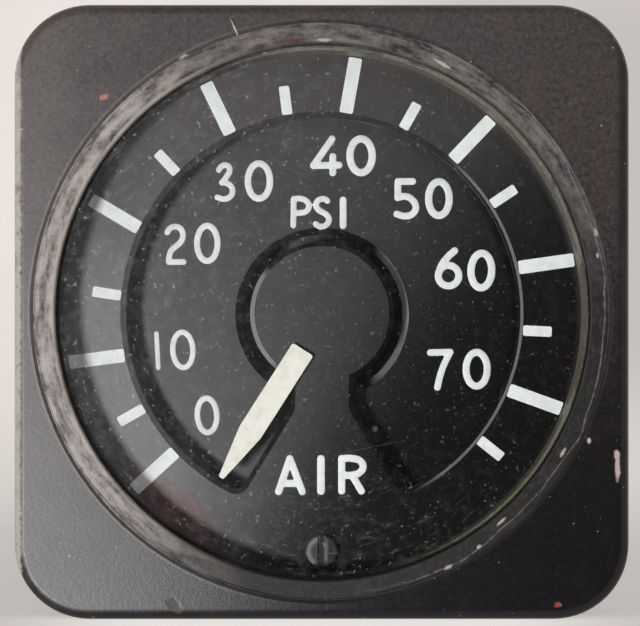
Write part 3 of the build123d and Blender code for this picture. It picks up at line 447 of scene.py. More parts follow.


# the ring's band: the same black, grey at the left and the top from wear and a painted sheen, and rough brown
# at the right
ringValues = {
    "black": tone(15, 12, 12), "grey": tone(172, 163, 160), "brown": tone(50, 41, 40),
    "ridge": tone(128, 120, 122), "fleck": tone(200, 190, 176), "maroon": tone(66, 20, 24),
    "left": 0.40, "right": 0.50, "specular": 0.31, "chipEdge": (1.2, 0.45), "bump": (0.6, 0.08 * mm),
    "ridgeRadius": 27.75, "ridgeWave": 1.6, "drawn": (9.0, 1.3, 3),
    "patterns": {"grain": (1.6, 5, 0.66), "fine": (6.5, 3, 0.6), "wave": (0.14, 2, 0.5, (4, 0, 9))},
    "limits": {
        "leftFrom": (0.53, 0.66), "leftTo": (0.86, 1.0, 1.0, 0.0), "top": (4.0, 24.0, 0.0, 0.42),
        "brown": (0.42, 0.66, 0.0, 0.6), "wear_and_sheen": (0.28, 0.66), "ridge": (0.0, 0.13, 1.0, 0.0),
        "ridgeSide": (2.0, 10.0), "ridgeBreaks": (0.40, 0.62), "lip": (26.4, 26.6, 1.0, 0.0),
        "lumps": (0.5, 0.8, 0.0, 0.6),
    },
    "much": {"ridge": 0.85, "lip": 0.5},
    "chips": [
        ("fleck", 25.9, -0.1, 0.5, 0.4, 0), ("fleck", 0.3, 26.6, 1.3, 0.3, 0),
        ("fleck", 11.9, 24.2, 1.9, 0.3, -30), ("fleck", 26.8, 7.8, 0.8, 0.34, 106),
        ("fleck", 27.0, 5.5, 0.5, 0.24, 100), ("fleck", 23.6, -13.8, 0.9, 0.28, 60),
        ("fleck", 17.6, -20.5, 1.1, 0.26, 42), ("fleck", 15.4, -23.0, 0.5, 0.3, 34),
        ("fleck", 12.4, -25.0, 0.8, 0.3, 26), ("maroon", -3.0, 26.5, 2.8, 0.5, 5),
        ("maroon", -6.1, 25.9, 1.7, 0.6, 14),
    ],
}


def ringPaint(v):
    paint = Finish("ring_paint")
    limits, much = v["limits"], v["much"]
    x, z, clock, radius = paint.axis(0), paint.axis(2), paint.clockAngle(), paint.radius()
    grain, fine, wave = paint.patterns(v["patterns"])
    drawn = paint.swirl(*v["drawn"])
    leftSide = paint.smooth(clock, *limits["leftFrom"]) * paint.smooth(clock, *limits["leftTo"])
    colour = paint.mix(paint.smooth(grain, *limits["brown"]), v["black"], v["brown"])
    # wear, and a painted sheen on the side where the lamp's light falls
    wear_and_sheen = paint.larger(leftSide, paint.smooth(z + x * 0.2, *limits["top"]))
    streaks = paint.smooth(drawn * 0.7 + grain * 0.3, *limits["wear_and_sheen"])
    colour = paint.mix(wear_and_sheen * streaks, colour, v["grey"])
    # a wavy ridge of old paint, left where the ring was turned home; at the right it carries a painted
    # highlight, where the bevel faces the lamp
    offset = paint.maths("ABSOLUTE", radius - (wave - 0.5) * v["ridgeWave"] - v["ridgeRadius"])
    ridge = paint.smooth(offset, *limits["ridge"]) * paint.smooth(x, *limits["ridgeSide"])
    ridge = ridge * paint.smooth(fine * 0.5 + grain * 0.6, *limits["ridgeBreaks"])
    colour = paint.mix(ridge * much["ridge"], colour, v["ridge"])
    # the lip's edge is black at the right and rubbed bright at the left
    lip = paint.smooth(radius, *limits["lip"])
    colour = paint.mix(lip * (1 - wear_and_sheen), colour, v["black"])
    colour = paint.mix(lip * leftSide * much["lip"], colour, v["fleck"])
    colour = paint.chip(colour, v, fine)[0]
    roughness = paint.smooth(leftSide, 0, 1, v["right"], v["left"]) + (fine - 0.5) * 0.2
    height = drawn * 0.8 + fine * 0.25 + ridge * 1.6 + paint.smooth(grain, *limits["lumps"])
    return paint.surface(colour, roughness, 0.0, paint.bump(height, *v["bump"]), v["specular"])


# the spacer's pale band, stained olive low down and with brown grime; the brown below the olive and the near
# black over the left are painted shade, where the lip's shadow falls
spacerValues = {
    "beige": tone(122, 116, 104), "olive": tone(92, 90, 68), "brown": tone(44, 35, 31),
    "shade": tone(18, 15, 15), "rough": 0.55, "stray": 0.05, "grime": (0.45, 0.75), "grimeMuch": 0.5,
    "bump": (0.4, 0.04 * mm),
    "patterns": {"patchy": (0.7, 4, 0.65), "grime": (1.9, 5, 0.7, (0, 0, 0), (1, 0.5, 1))},
    # colours round the clock, from twelve: the brown and shade stops are painted shade
    "stops": [(0.0, "beige"), (0.27, "beige"), (0.36, "olive"), (0.44, "olive"), (0.47, "brown"),
              (0.57, "brown"), (0.63, "shade"), (0.93, "shade"), (0.99, "beige")],
}


def spacerPaint(v):
    paint = Finish("spacer_paint")
    patchy, grime = paint.patterns(v["patterns"])
    clock = paint.clockAngle() + (patchy - 0.5) * v["stray"]
    colour = paint.ramp(clock, [(place, v[shade]) for place, shade in v["stops"]])
    grime = paint.smooth(grime, *v["grime"])
    colour = paint.mix(grime * v["grimeMuch"], colour, v["brown"])
    roughness = v["rough"] + (patchy - 0.5) * 0.2
    return paint.surface(colour, roughness, 0.0, paint.bump(patchy + grime, *v["bump"]))


# the dial's paint: matt black with a soft sheen, dusty and speckled, with a painted sheen at the left and
# painted highlights on the bevelled edges
dialValues = {
    "black": tone(6, 8, 13), "dust": tone(94, 97, 106), "speck": tone(176, 172, 168),
    "soot": tone(9, 7, 7), "warm": tone(94, 84, 78), "sheen": tone(172, 172, 170),
    "maroon": tone(84, 22, 30), "bevel_highlight": tone(205, 204, 210), "dull": 0.39, "glossy": 0.19, "specular": 0.6,
    "strayDust": 22.0, "straySheen": 10.0, "drawn": (14.0, 2.2, 3), "bump": (0.22, 0.02 * mm),
    "patterns": {"cloud": (0.22, 3, 0.55), "grain": (3.4, 4, 0.7), "fine": (14.0, 2, 0.5),
                 "specks": (4.6, 1, 0.4, (3, 5, 9))},
    "limits": {
        "dust": (-8.0, 30.0, 0.0, 0.22), "grime": (0.55, 0.8, 0.0, 0.10), "sheenLeft": (6.0, 20.0),
        "sheenRing": (17.0, 19.0, 0.0, 0.24), "sheenFoot": (0.0, 14.0, 1.0, 0.15),
        "specks": (0.775, 0.80, 0.0, 0.55), "shine": (-4.0, 20.0),
    },
    # spots: x, z, wide, high, turned, ragged, soft
    "stain": (-15.6, -20.4, 11.0, 5.6, -38, 0.8, 0.4), "dot": (5.47, -11.84, 0.55, 0.55, 0, 0.3, 0.2),
    "edgeSoft": 0.03, "arcSoft": 0.04,
    # painted highlights on the bevelled edges where they face the lamp: radius from, to, depth from, to, and
    # clock angles with how much
    "edges": {
        "mask_paint": [(6.7, 7.35, -0.19, 0.32, [(0.59, 0.87, 0.44)]),
                       (20.12, 20.5, -0.19, 0.32, [(0.10, 0.43, 0.30)])],
        "scale_paint": [(8.3, 9.05, 4.21, 4.87, [(0.10, 0.29, 0.75), (0.25, 0.41, 0.34)])],
    },
}


def dialPaint(name, v):
    paint = Finish(name)
    limits, onMask = v["limits"], name == "mask_paint"
    x, y, z, radius = paint.axis(0), paint.axis(1), paint.axis(2), paint.radius()
    cloud, grain, fine, specks = paint.patterns(v["patterns"])
    # dust, and a painted sheen, lighten the paint toward the left
    dust_and_sheen = paint.smooth((cloud - 0.5) * v["strayDust"] - x, *limits["dust"])
    dust_and_sheen = dust_and_sheen + paint.smooth(grain, *limits["grime"])
    colour = paint.mix(dust_and_sheen, v["soot" if onMask else "black"], v["warm" if onMask else "dust"])
    if onMask:
        # a painted sheen lightens the chapter ring at the left, and it is stained low down
        sheen = paint.smooth((cloud - 0.5) * v["straySheen"] - x, *limits["sheenLeft"])
        sheen = sheen * (0.55 + paint.swirl(*v["drawn"]) * 0.9) * paint.smooth(radius, *limits["sheenRing"])
        sheen = sheen * paint.smooth(z, *limits["sheenFoot"])
        colour = paint.mix(sheen, colour, v["sheen"])
        colour = paint.mix(paint.spot(*v["stain"]) * (0.6 + grain * 0.5), colour, v["maroon"])
    colour = paint.mix(paint.smooth(specks, *limits["specks"]), colour, v["speck"])
    if not onMask:
        colour = paint.mix(paint.spot(*v["dot"]), colour, v["speck"])
    # painted highlights on the bevels, in crescents that face the lamp
    bevel_highlight, soft = 0.0, v["edgeSoft"]
    for near, far, top, foot, arcs in v["edges"][name]:
        band = paint.smooth(radius, near - soft, near) * paint.smooth(radius, far, far + soft, 1.0, 0.0)
        band = band * paint.smooth(y, top, top + soft) * paint.smooth(y, foot - soft, foot, 1.0, 0.0)
        for start, end, much in arcs:
            bevel_highlight = band * paint.arc(start, end, v["arcSoft"]) * much + bevel_highlight
    colour = paint.mix(bevel_highlight * (0.75 + grain * 0.4), colour, v["bevel_highlight"])
    polish = paint.smooth(x - z * 0.7, *limits["shine"], v["dull"], v["glossy"])
    roughness = polish + (grain - 0.5) * 0.10 + bevel_highlight * 0.2
    height = fine * 0.6 + grain * 0.6
    return paint.surface(colour, roughness, 0.0, paint.bump(height, *v["bump"]), v["specular"])


# thick white paint of the marks, the numerals and the pointer
whiteValues = {
    "mark_paint": {"white": tone(243, 250, 247), "old": tone(226, 232, 228), "soil": tone(140, 138, 134)},
    "pointer_paint": {"white": tone(244, 243, 232), "old": tone(226, 222, 206), "soil": tone(140, 130, 116)},
    "patterns": {"patchy": (0.9, 4, 0.6), "fine": (7.5, 4, 0.7)},
    "old": (0.38, 0.68, 0.0, 0.7), "soil": (0.60, 0.78, 0.0, 0.35), "rough": 0.55, "bump": (0.35, 0.03 * mm),
}


def whitePaint(name, v):
    paint = Finish(name)
    shades = v[name]
    patchy, fine = paint.patterns(v["patterns"])
    colour = paint.mix(paint.smooth(patchy, *v["old"]), shades["white"], shades["old"])
    colour = paint.mix(paint.smooth(fine, *v["soil"]), colour, shades["soil"])
    height = fine + patchy * 0.5
    return paint.surface(colour, v["rough"] + (fine - 0.5) * 0.2, 0.0, paint.bump(height, *v["bump"]))


# the window: nearly clear, with a weak reflection, dust and a few fine scratches
glassValues = {
    "shine": 0.018, "gloss": tone(255, 252, 248), "glossRough": 0.02, "dust": tone(192, 190, 194),
    "haze": 0.001, "veil": 0.055, "wiped": 0.20, "blotch": 0.062, "grit": 0.34, "drawn": (13.0, 2.7, 3),
    "patterns": {"cloud": (0.42, 5, 0.68), "blotches": (1.1, 3, 0.6), "grit": (2.9, 1, 0.3, (2, 6, 4))},
    "limits": {
        "front": (-4.7, -4.6, 1.0, 0.0), "cloud": (0.36, 0.70), "dashes": (0.575, 0.74),
        "blotches": (0.46, 0.74), "grit": (0.70, 0.79), "side": (-14.0, 26.0, 0.02, 1.0),
        "wipedFoot": (8.0, 22.0, 0.0, 0.6), "wipedTop": (8.0, 22.0, 0.0, 0.4),
    },
    # scratches: x, z, long, wide, turned, and how much they show
    "scratches": [(-9.5, 7.0, 8.0, 0.035, 38), (13.0, 3.5, 5.5, 0.03, -30), (4.0, -13.5, 7.0, 0.03, 12),
                  (-3.0, 19.0, 4.0, 0.03, 65), (17.5, -9.0, 3.5, 0.03, 80), (-16.5, -3.0, 3.0, 0.03, -65)],
    "scratched": 0.2,
}


def windowGlass(v):
    glass = Finish("window_glass")
    limits = v["limits"]
    clear = glass.node("ShaderNodeBsdfTransparent")
    gloss = glass.node("ShaderNodeBsdfGlossy", None, {"Color": v["gloss"], "Roughness": v["glossRough"]})
    dust = glass.node("ShaderNodeBsdfDiffuse", None, {"Color": v["dust"]})
    pane = glass.node("ShaderNodeMixShader", None, {0: v["shine"], 1: clear.outputs[0], 2: gloss.outputs[0]})
    x, z = glass.axis(0), glass.axis(2)
    cloud, blotches, grit = glass.patterns(v["patterns"])
    front = glass.smooth(glass.axis(1), *limits["front"])
    cloud = glass.smooth(cloud, *limits["cloud"])
    blotches = glass.smooth(blotches, *limits["blotches"])
    grit = glass.smooth(grit, *limits["grit"])
    dashes = glass.smooth(glass.swirl(*v["drawn"]), *limits["dashes"])
    # dust lies thicker at the left, and a cloth turned on the glass has wiped it into dashes
    side = glass.smooth(z * 0.35 - x, *limits["side"])
    wiped = glass.larger(side, glass.smooth(-z - x * 0.3, *limits["wipedFoot"]))
    wiped = glass.larger(wiped, glass.smooth(z, *limits["wipedTop"]))
    cover = v["haze"] + side * (0.55 + cloud * 0.7) * v["veil"]
    cover = cover + dashes * wiped * (0.4 + cloud * 0.6) * v["wiped"]
    cover = cover + blotches * (0.16 + wiped * 0.84) * v["blotch"] + grit * (0.3 + wiped * 0.7) * v["grit"]
    for scratch in v["scratches"]:
        cover = cover + glass.spot(*scratch, soft=0.6) * v["scratched"]
    both = glass.node("ShaderNodeMixShader", None, {
        0: cover * front, 1: pane.outputs[0], 2: dust.outputs[0]})
    return glass.show(both.outputs[0])


# bare and plated metals: a colour, how rough, and how closely turned marks lie (0 is brushed)
metalValues = {
    "screw_steel": {"colour": tone(74, 68, 69), "dark": tone(26, 23, 24), "rough": 0.42, "turned": 3},
    "spindle_steel": {"colour": tone(196, 196, 194), "dark": tone(120, 118, 116), "rough": 0.24, "turned": 6},
    "plate_brass": {"colour": tone(214, 178, 104), "dark": tone(146, 112, 60), "rough": 0.34, "turned": 0},
    "magnet": {"colour": tone(126, 124, 124), "dark": tone(74, 70, 70), "rough": 0.40, "turned": 2},
    "copper": {"colour": tone(206, 126, 92), "dark": tone(130, 70, 50), "rough": 0.34, "turned": 2},
    "can_steel": {"colour": tone(158, 156, 150), "dark": tone(96, 94, 92), "rough": 0.44, "turned": 0},
    "tinned_brass": {"colour": tone(206, 206, 200), "dark": tone(140, 138, 132), "rough": 0.36, "turned": 0},
    "shell_metal": {"colour": tone(150, 150, 132), "dark": tone(96, 96, 78), "rough": 0.46, "turned": 4},
    "pin_plate": {"colour": tone(222, 186, 110), "dark": tone(160, 124, 66), "rough": 0.28, "turned": 0},
}
metalMarks = {
    "cloud": (0.5, 4, 0.65), "fine": (8.0, 3, 0.6), "brushed": (0.12, 1, 1), "dark": (0.35, 0.75, 0.0, 0.8),
    "metallic": 0.92, "along": 2.2, "closer": 6.0, "rings": 0.22, "bump": (0.25, 0.015 * mm),
}


def metal(name, v, marks):
    plate = Finish(name)
    cloud = plate.noise(*marks["cloud"])
    fine = plate.noise(*marks["fine"], stretch=(1, 1, 1) if v["turned"] else marks["brushed"])
    colour = plate.mix(plate.smooth(cloud, *marks["dark"]), v["colour"], v["dark"])
    roughness = v["rough"] + (cloud - 0.5) * 0.18 + (fine - 0.5) * 0.12
    height = fine * 0.5
    if v["turned"]:
        way = plate.radius() * v["turned"] + plate.axis(1) * marks["along"]
        height = height + plate.maths("SINE", way * marks["closer"]) * marks["rings"]
    return plate.surface(colour, roughness, marks["metallic"], plate.bump(height, *marks["bump"]))


# the dial screw: dark steel, with a painted highlight on the rim that faces the light and beside the slot,
# and painted shade over the right side and in the slot
screwValues = {
    "dark": tone(26, 23, 25), "painted_highlight": tone(114, 107, 107), "black": tone(6, 5, 6), "grain": (4.0, 4, 0.65),
    "rim_highlight": (0.95, 1.2), "rimSide": (-0.7, -0.1, 1.0, 0.0), "beside": 0.42, "stripe_highlight": (0.05, 0.24, 1.0, 0.0),
    "stripeEnd": (0.95, 1.2, 1.0, 0.0), "shade": (0.45, 0.75), "slot": (0.18, 0.24, 1.0, 0.0),
    "slotOff": 0.04, "rough": 0.5, "bump": (0.4, 0.04 * mm),
}


def screwSteel(v):
    steel = Finish("dial_screw_steel")
    low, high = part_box("dial_screw")
    centre = (low + high) / 2 / mm
    u, w = steel.axis(0) - centre.x, steel.axis(2) - centre.z
    away = (u * u + w * w) ** 0.5
    grain = steel.noise(*v["grain"])
    rim_highlight = steel.smooth(away, *v["rim_highlight"]) * steel.smooth(u - w * 0.25, *v["rimSide"])
    stripe_highlight = steel.smooth(steel.maths("ABSOLUTE", u - v["beside"]), *v["stripe_highlight"])
    stripe_highlight = stripe_highlight * steel.smooth(away, *v["stripeEnd"])
    slot = steel.smooth(steel.maths("ABSOLUTE", u + v["slotOff"]), *v["slot"])
    # painted shade over the right side of the head and in the slot
    shade = steel.larger(steel.smooth(u, *v["shade"]), slot)
    painted_highlight = steel.larger(rim_highlight, stripe_highlight * 0.7) * (0.6 + grain * 0.5)
    colour = steel.mix(shade * 0.92, steel.mix(painted_highlight, v["dark"], v["painted_highlight"]), v["black"])
    roughness = v["rough"] + (grain - 0.5) * 0.2 + shade * 0.2
    return steel.surface(colour, roughness, 0.0, steel.bump(grain + rim_highlight * 0.6, *v["bump"]))


# mouldings, rubber, board and other plain stuff: two tones, how rough, and how coarse
plainValues = {
    "black_finish_and_shade": {"colour": tone(6, 6, 7), "second": tone(16, 15, 15), "rough": 0.5, "scale": 1.8},
    "gasket_rubber": {"colour": tone(30, 29, 29), "second": tone(58, 54, 52), "rough": 0.72, "scale": 2.4},
    "jewel": {"colour": tone(150, 26, 56), "second": tone(206, 66, 96), "rough": 0.12, "scale": 0.9},
    "moulding": {"colour": tone(52, 38, 30), "second": tone(84, 62, 48), "rough": 0.42, "scale": 1.2},
    "insert_plastic": {"colour": tone(34, 34, 36), "second": tone(60, 60, 62), "rough": 0.38, "scale": 1.4},
    "cover_paint": {"colour": tone(28, 27, 28), "second": tone(74, 70, 68), "rough": 0.46, "scale": 0.8},
}


def plainStuff(name, v):
    stuff = Finish(name)
    cloud, fine = stuff.noise(v["scale"] * 0.3, 4, 0.6), stuff.noise(v["scale"] * 3.5, 4, 0.7)
    blend = stuff.smooth(cloud * 0.6 + fine * 0.5, 0.42, 0.78, 0.0, 0.8)
    colour = stuff.mix(blend, v["colour"], v["second"])
    return stuff.surface(colour, v["rough"] + (fine - 0.5) * 0.2, 0.0, stuff.bump(fine, 0.35, 0.03 * mm))


# the stator: varnished wire laid round the ring, and sheet steel in thin leaves
coilValues = {
    "wire": tone(170, 84, 44), "groove_shade": tone(80, 32, 18), "turns": 230, "stray": (1.1, 3, 0.6),
    "varnish": 0.5, "bump": (0.7, 0.08 * mm),
}
coreValues = {
    "steel": tone(112, 108, 104), "scale": tone(58, 50, 46), "leaf": 0.5, "rust": (0.9, 4, 0.7),
    "bump": (0.6, 0.05 * mm),
}


def winding(v):
    coil = Finish("winding")
    # wires run round the ring's section, side by side along its length
    ridge = coil.maths("ABSOLUTE", coil.maths("SINE", coil.clockAngle() * math.pi * v["turns"]))
    stray = coil.noise(*v["stray"])
    # the grooves between the turns are darker, as painted shade
    colour = coil.mix(coil.smooth(ridge, 0.0, 0.7) * (0.7 + stray * 0.4), v["groove_shade"], v["wire"])
    roughness = 0.3 + (stray - 0.5) * 0.2
    return coil.surface(colour, roughness, 0.35, coil.bump(ridge, *v["bump"]), coat=v["varnish"])


def coreSteel(v):
    core = Finish("core_steel")
    leaf = core.maths("ABSOLUTE", core.maths("SINE", core.axis(1) * (math.pi / v["leaf"])))
    rust = core.smooth(core.noise(*v["rust"]), 0.45, 0.8, 0.0, 0.7)
    colour = core.mix(rust, v["steel"], v["scale"])
    colour = core.mix(core.smooth(leaf, 0.0, 0.25, 0.8, 0.0), colour, v["scale"])
    return core.surface(colour, 0.48 + (leaf - 0.5) * 0.1, 0.8, core.bump(leaf, *v["bump"]))


# the terminal board: woven resin sheet
boardValues = {
    "resin": tone(134, 92, 50), "weave": tone(164, 120, 72), "pitch": 3.2, "bump": (0.3, 0.03 * mm),
}


def boardResin(v):
    board = Finish("board")
    across = board.maths("SINE", board.axis(0) * (math.pi * v["pitch"]))
    along = board.maths("SINE", board.axis(2) * (math.pi * v["pitch"]))
    weave = across * along * 0.5 + 0.5
    cloud = board.noise(0.6, 3)
    colour = board.mix(weave * 0.5 + cloud * 0.4, v["resin"], v["weave"])
    return board.surface(colour, 0.36 + (weave - 0.5) * 0.1, 0.0, board.bump(weave, *v["bump"]))


# the leads' braided sleeves, with a coloured tracer thread
leadValues = {
    "cloth": tone(196, 186, 160), "thread": tone(120, 60, 44), "pitch": 5.5, "bump": (0.6, 0.05 * mm),
}


def leadSleeve(v):
    lead = Finish("lead_sleeve")
    x, y, z = lead.axis(0), lead.axis(1), lead.axis(2)
    one = lead.maths("SINE", (x + y + z * 0.7) * (math.pi * v["pitch"]))
    two = lead.maths("SINE", (x - y + z * 0.6) * (math.pi * v["pitch"]))
    braid = lead.larger(one, two)
    colour = lead.mix(lead.smooth(one, 0.86, 0.97, 0.0, 0.8), v["cloth"], v["thread"])
    # the braid's valleys are darkened toward the thread's colour, as painted shade
    colour = lead.mix(lead.smooth(braid, -0.4, 0.3, 0.35, 0.0), colour, v["thread"])
    return lead.surface(colour, 0.78 + (lead.noise(6.0) - 0.5) * 0.1, 0.0, lead.bump(braid, *v["bump"]))


paints = {
    "case_paint": casePaint(caseValues), "ring_paint": ringPaint(ringValues),
    "spacer_paint": spacerPaint(spacerValues), "window_glass": windowGlass(glassValues),
    "dial_screw_steel": screwSteel(screwValues), "winding": winding(coilValues),
    "core_steel": coreSteel(coreValues), "board": boardResin(boardValues),
    "lead_sleeve": leadSleeve(leadValues),
}
paints.update({name: dialPaint(name, dialValues) for name in dialValues["edges"]})
paints.update({name: whitePaint(name, whiteValues) for name in ("mark_paint", "pointer_paint")})
paints.update({name: metal(name, v, metalMarks) for name, v in metalValues.items()})
paints.update({name: plainStuff(name, v) for name, v in plainValues.items()})

dressValues = {
    # what shows through the gap round the hub cover is black, partly as its finish and partly as painted
    # shade of the deep gap
    "black_finish_and_shade": ("front_bridge", "movement_plate", "damping_cup", "pointer_collet", "stop_arm"),
    "special": {"dial_screw": "dial_screw_steel", "glass_gasket": "spacer_paint"},
}


def dressNodes(v):
    # every node wears the finish that its material slot names
    slotOf = {row["node"]: row["material_slot"] for row in frame["record"]["subparts"]}
    for name, node in frame["nodes"].items():
        paint = paints["black_finish_and_shade" if name in v["black_finish_and_shade"] else v["special"].get(name, slotOf[name])]
        if len(node.data.materials):
            for index in range(len(node.data.materials)):
                node.data.materials[index] = paint
        else:
            node.data.materials.append(paint)


dressNodes(dressValues)
print("finishes on")


# old paint and dirt that fill the joint between the flange and the ring
seamValues = {
    "radius": 28.22, "depth": -6.0, "thick": 0.16, "flat": 0.35, "around": 288, "section": 10,
    # how the bead swells and thins: how often, how much, where it starts
    "waves": [(5, 0.18, 0.7), (11, 0.14, 2.1), (23, 0.12, 4.0), (41, 0.10, 1.3)],
}


def makeSeam(v):
    startMesh()
    bpy.ops.mesh.primitive_torus_add(
        location=(0, v["depth"], 0), rotation=(math.pi / 2, 0, 0), major_radius=v["radius"],
        minor_radius=v["thick"], major_segments=v["around"], minor_segments=v["section"])
    seam = bpy.context.object
    seam.name = "seam_paint"
    applyPlace(seam)
    for point in seam.data.vertices:
        turn = math.atan2(point.co.x, point.co.z)
        swell = 1 + sum(much * math.sin(times * turn + start) for times, much, start in v["waves"])
        middle = Vector((math.sin(turn) * v["radius"], v["depth"], math.cos(turn) * v["radius"]))
        point.co = middle + (point.co - middle) * swell
        point.co.y = v["depth"] + (point.co.y - v["depth"]) * v["flat"]
    seam.scale = (mm, mm, mm)
    applyPlace(seam)
    bpy.ops.object.shade_smooth()
    seam.data.materials.append(paints["ring_paint"])
    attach(seam, "case")


makeSeam(seamValues)
print("seam filled")


# letters and numerals: strokes of a round cutter, in a box from -0.5 to 0.5
glyphs = {
    "0": [("ring", 0, 0, 0.5, 0.5)],
    "1": [[(0, 0.5), (0, -0.5)]],
    "2": [[(-0.52, 0.339), (-0.34, 0.453), (-0.026, 0.5), (0.296, 0.447), (0.456, 0.307), (0.427, 0.161),
           (0.245, 0.028), (-0.026, -0.075), (-0.266, -0.18), (-0.383, -0.314), (-0.412, -0.5)],
          [(-0.412, -0.5), (0.5, -0.497)]],
    "3": [[(-0.4, 0.358), (-0.227, 0.457), (0.038, 0.5), (0.265, 0.447), (0.31, 0.331),
           (0.152, 0.182), (-0.19, -0.017)],
          [(-0.19, -0.017), (0.152, -0.04), (0.432, -0.149), (0.5, -0.298), (0.341, -0.437),
           (-0.023, -0.503), (-0.492, -0.454)]],
    "4": [[(0.227, 0.5), (-0.5, -0.285)], [(-0.5, -0.285), (0.5, -0.271)],
          [(0.258, -0.016), (0.258, -0.5)]],
    "5": [[(0.344, 0.5), (-0.434, 0.5)], [(-0.434, 0.5), (-0.45, 0.03)],
          [(-0.45, 0.03), (-0.1, 0.07), (0.25, 0), (0.5, -0.22), (0.36, -0.42), (-0.05, -0.5),
           (-0.5, -0.44)]],
    "6": [[(0.26, 0.5), (-0.042, 0.329), (-0.339, 0.093), (-0.49, -0.173)],
          ("ring", 0, -0.211, 0.5, 0.289)],
    "7": [[(-0.5, 0.485), (0.5, 0.5)], [(0.5, 0.5), (0.206, 0.17), (-0.008, -0.17), (-0.142, -0.5)]],
    "P": [[(-0.5, 0.5), (-0.52, -0.5)],
          [(-0.5, 0.5), (0, 0.5), (0.36, 0.4), (0.5, 0.235), (0.36, 0.05), (0, -0.025), (-0.5, -0.025)]],
    "S": [[(0.356, 0.422), (0.195, 0.486), (-0.06, 0.498), (-0.356, 0.422), (-0.47, 0.2525), (-0.31, 0.113),
           (0.004, 0.013), (0.322, -0.087), (0.479, -0.2265), (0.364, -0.396), (0.068, -0.492),
           (-0.229, -0.492), (-0.504, -0.406)]],
    "A": [[(-0.024, 0.5), (-0.494, -0.5)], [(-0.024, 0.5), (0.494, -0.5)],
          [(-0.348, -0.25), (0.364, -0.25)]],
    "R": [[(-0.5, 0.5), (-0.5, -0.5)],
          [(-0.5, 0.5), (0, 0.5), (0.35, 0.43), (0.5, 0.25), (0.36, 0.08), (0, -0.01), (-0.5, -0.01)],
          [(-0.02, -0.01), (0.42, -0.5)]],
}
glyphs["I"] = glyphs["1"]

# each word's glyphs in millimetres: x, z, wide, high, stroke, leaning
letterValues = {
    # paint's thickness, remesh cell, points on a ring, and the pen's width against the strokes below
    "thick": 0.075, "cell": 0.07, "ringPoints": 12, "pen": 0.87, "endSegments": 16, "endRings": 8,
    "raised": ("legend_air",),
    "words": {
        "numeral_00": [("0", -11.92, -10.43, 2.61, 4.16, 0.70, 3)],
        "numeral_10": [("1", -17.07, -3.73, 0, 4.07, 0.60, 3), ("0", -14.43, -3.65, 2.66, 4.25, 0.68, 3)],
        "numeral_20": [("2", -15.19, 7.28, 2.28, 4.30, 0.72, 0), ("0", -11.90, 7.38, 2.77, 4.30, 0.75, 0)],
        "numeral_30": [("3", -10.08, 13.74, 2.21, 4.12, 0.71, 0), ("0", -6.55, 13.84, 2.98, 4.33, 0.81, 0)],
        "numeral_40": [("4", 0.42, 16.44, 3.38, 4.25, 0.84, 0), ("0", 4.03, 16.46, 3.08, 4.28, 0.90, 0)],
        "numeral_50": [("5", 8.71, 12.00, 2.69, 4.32, 0.83, 0), ("0", 12.09, 12.02, 2.90, 4.28, 0.89, 0)],
        "numeral_60": [("6", 13.11, 4.81, 2.88, 4.42, 0.87, -2), ("0", 16.49, 4.57, 2.92, 4.36, 0.90, -2)],
        "numeral_70": [("7", 12.23, -5.71, 2.78, 4.38, 0.81, 0), ("0", 16.00, -5.65, 2.94, 4.26, 0.87, 0)],
        "unit_psi": [("P", -2.16, 10.62, 2.21, 3.38, 0.72, 0), ("S", 0.03, 10.56, 2.03, 3.50, 0.72, 0),
                     ("I", 2.17, 10.55, 0, 3.40, 0.83, 0)],
        "legend_air": [("A", -3.19, -16.35, 3.17, 4.09, 0.85, 0), ("I", -0.10, -16.33, 0, 4.06, 0.91, 0),
                       ("R", 3.08, -16.31, 2.91, 4.03, 0.85, 0)],
    },
}


def strokeLine(points, closed, width):
    # one stroke as a round bar, worked in units of a millimetre
    line = bpy.data.curves.new("stroke", "CURVE")
    line.dimensions, line.bevel_depth, line.bevel_resolution = "3D", width / 2, 4
    line.resolution_u, line.use_fill_caps = 8, True
    spline = line.splines.new("BEZIER")
    spline.bezier_points.add(len(points) - 1)
    for knot, (x, z) in zip(spline.bezier_points, points):
        knot.co = (x, 0, z)
        knot.handle_left_type = knot.handle_right_type = "AUTO"
    spline.use_cyclic_u = closed
    bar = bpy.data.objects.new("stroke", line)
    bpy.context.collection.objects.link(bar)
    return bar


def makeWord(name, marks, v):
    bars = []
    for glyph, x, z, wide, high, stroke, lean in marks:
        stroke = stroke * v["pen"]
        wide, high = max(wide - stroke, 0), high - stroke
        c, s = math.cos(math.radians(lean)), math.sin(math.radians(lean))
        for run in glyphs[glyph]:
            closed = run[0] == "ring"
            if closed:
                cx, cz, rx, rz = run[1:]
                turns = [2 * math.pi * i / v["ringPoints"] for i in range(v["ringPoints"])]
                run = [(cx + rx * math.cos(a), cz + rz * math.sin(a)) for a in turns]
            flat = [(px * wide, pz * high) for px, pz in run]
            placed = [(x + px * c - pz * s, z + px * s + pz * c) for px, pz in flat]
            bars.append(strokeLine(placed, closed, stroke))
            if not closed:
                for px, pz in (placed[0], placed[-1]):
                    bpy.ops.mesh.primitive_uv_sphere_add(
                        segments=v["endSegments"], ring_count=v["endRings"], radius=stroke / 2,
                        location=(px, 0, pz))
                    bars.append(bpy.context.object)
    startMesh()
    for bar in bars:
        bar.select_set(True)
    bpy.context.view_layer.objects.active = bars[0]
    bpy.ops.object.convert(target="MESH")
    bpy.ops.object.join()
    word = bpy.context.object
    word.name = name
    skin = word.modifiers.new("skin", "REMESH")
    skin.mode, skin.voxel_size, skin.use_smooth_shade = "VOXEL", v["cell"], True
    applyModifiers(word)
    # the round strokes are pressed flat on the plate's face, or the mask's
    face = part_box("dial_mask" if name in v["raised"] else "scale_plate")[0].y
    word.scale = (mm, mm * v["thick"] / (marks[0][5] * v["pen"] / 2), mm)
    word.location = (0, face, 0)
    applyPlace(word)
    word.data.materials.clear()
    word.data.materials.append(paints["mark_paint"])
    bpy.ops.object.shade_smooth()
    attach(word, "case")


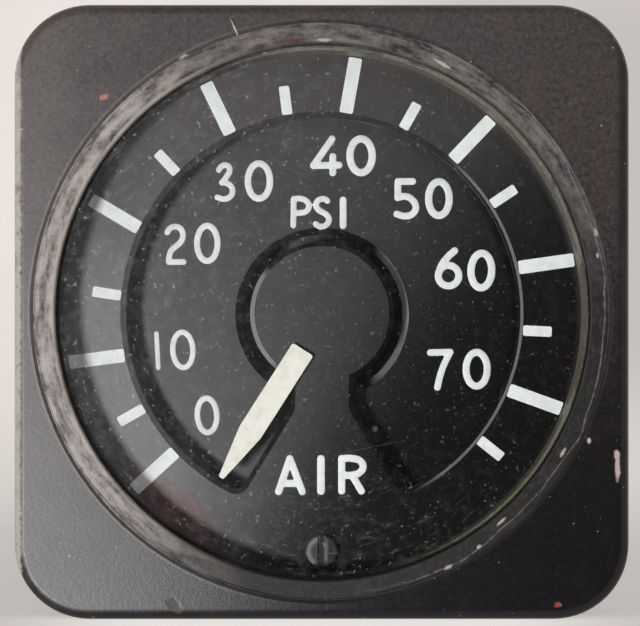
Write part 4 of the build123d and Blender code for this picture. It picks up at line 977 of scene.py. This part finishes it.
for wordName, wordMarks in letterValues["words"].items():
    makeWord(wordName, wordMarks, letterValues)
print("lettering made")


# the coupling thread on the receptacle's shell
threadValues = {
    "start": 74.6, "end": 84.0, "pitch": 1.27, "rise": 0.28, "sink": 0.06, "radius": 8.7, "steps": 72,
    "foot": 0.42, "crest": 0.10, "weld": 1e-5, "smoothTo": 30,
}


def makeThread(v):
    startMesh()
    bpy.ops.mesh.primitive_plane_add(size=1, location=(0, 0, 0))
    thread = bpy.context.object
    thread.name = "shell_thread"
    low, high = v["radius"] - v["sink"], v["radius"] + v["rise"]
    foot, crest = v["pitch"] * v["foot"], v["pitch"] * v["crest"]
    # the plane becomes the thread's section, beside the axis
    section = [(low, -foot), (low, foot), (high, -crest), (high, crest)]
    for corner, (radius, along) in zip(thread.data.vertices, section):
        corner.co = (radius, along, 0)
    bpy.ops.object.mode_set(mode="EDIT")
    bpy.ops.mesh.select_all(action="SELECT")
    bpy.ops.mesh.delete(type="ONLY_FACE")
    bpy.ops.object.mode_set(mode="OBJECT")
    turns = (v["end"] - v["start"]) / v["pitch"]
    screw = thread.modifiers.new("thread", "SCREW")
    screw.axis, screw.angle, screw.screw_offset = "Y", 2 * math.pi * turns, v["end"] - v["start"]
    screw.steps = screw.render_steps = int(v["steps"] * turns)
    screw.use_merge_vertices = True
    applyModifiers(thread)
    bpy.ops.object.mode_set(mode="EDIT")
    bpy.ops.mesh.select_all(action="SELECT")
    bpy.ops.mesh.remove_doubles(threshold=v["weld"])
    bpy.ops.mesh.fill_holes(sides=4)
    bpy.ops.mesh.select_all(action="SELECT")
    bpy.ops.mesh.normals_make_consistent(inside=False)
    bpy.ops.object.mode_set(mode="OBJECT")
    thread.scale = (mm, mm, mm)
    thread.location = (0, v["start"] * mm, 0)
    applyPlace(thread)
    bpy.ops.object.shade_smooth_by_angle(angle=math.radians(v["smoothTo"]))
    thread.data.materials.clear()
    thread.data.materials.append(paints["shell_metal"])
    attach(thread, "case")


makeThread(threadValues)
print("thread made")
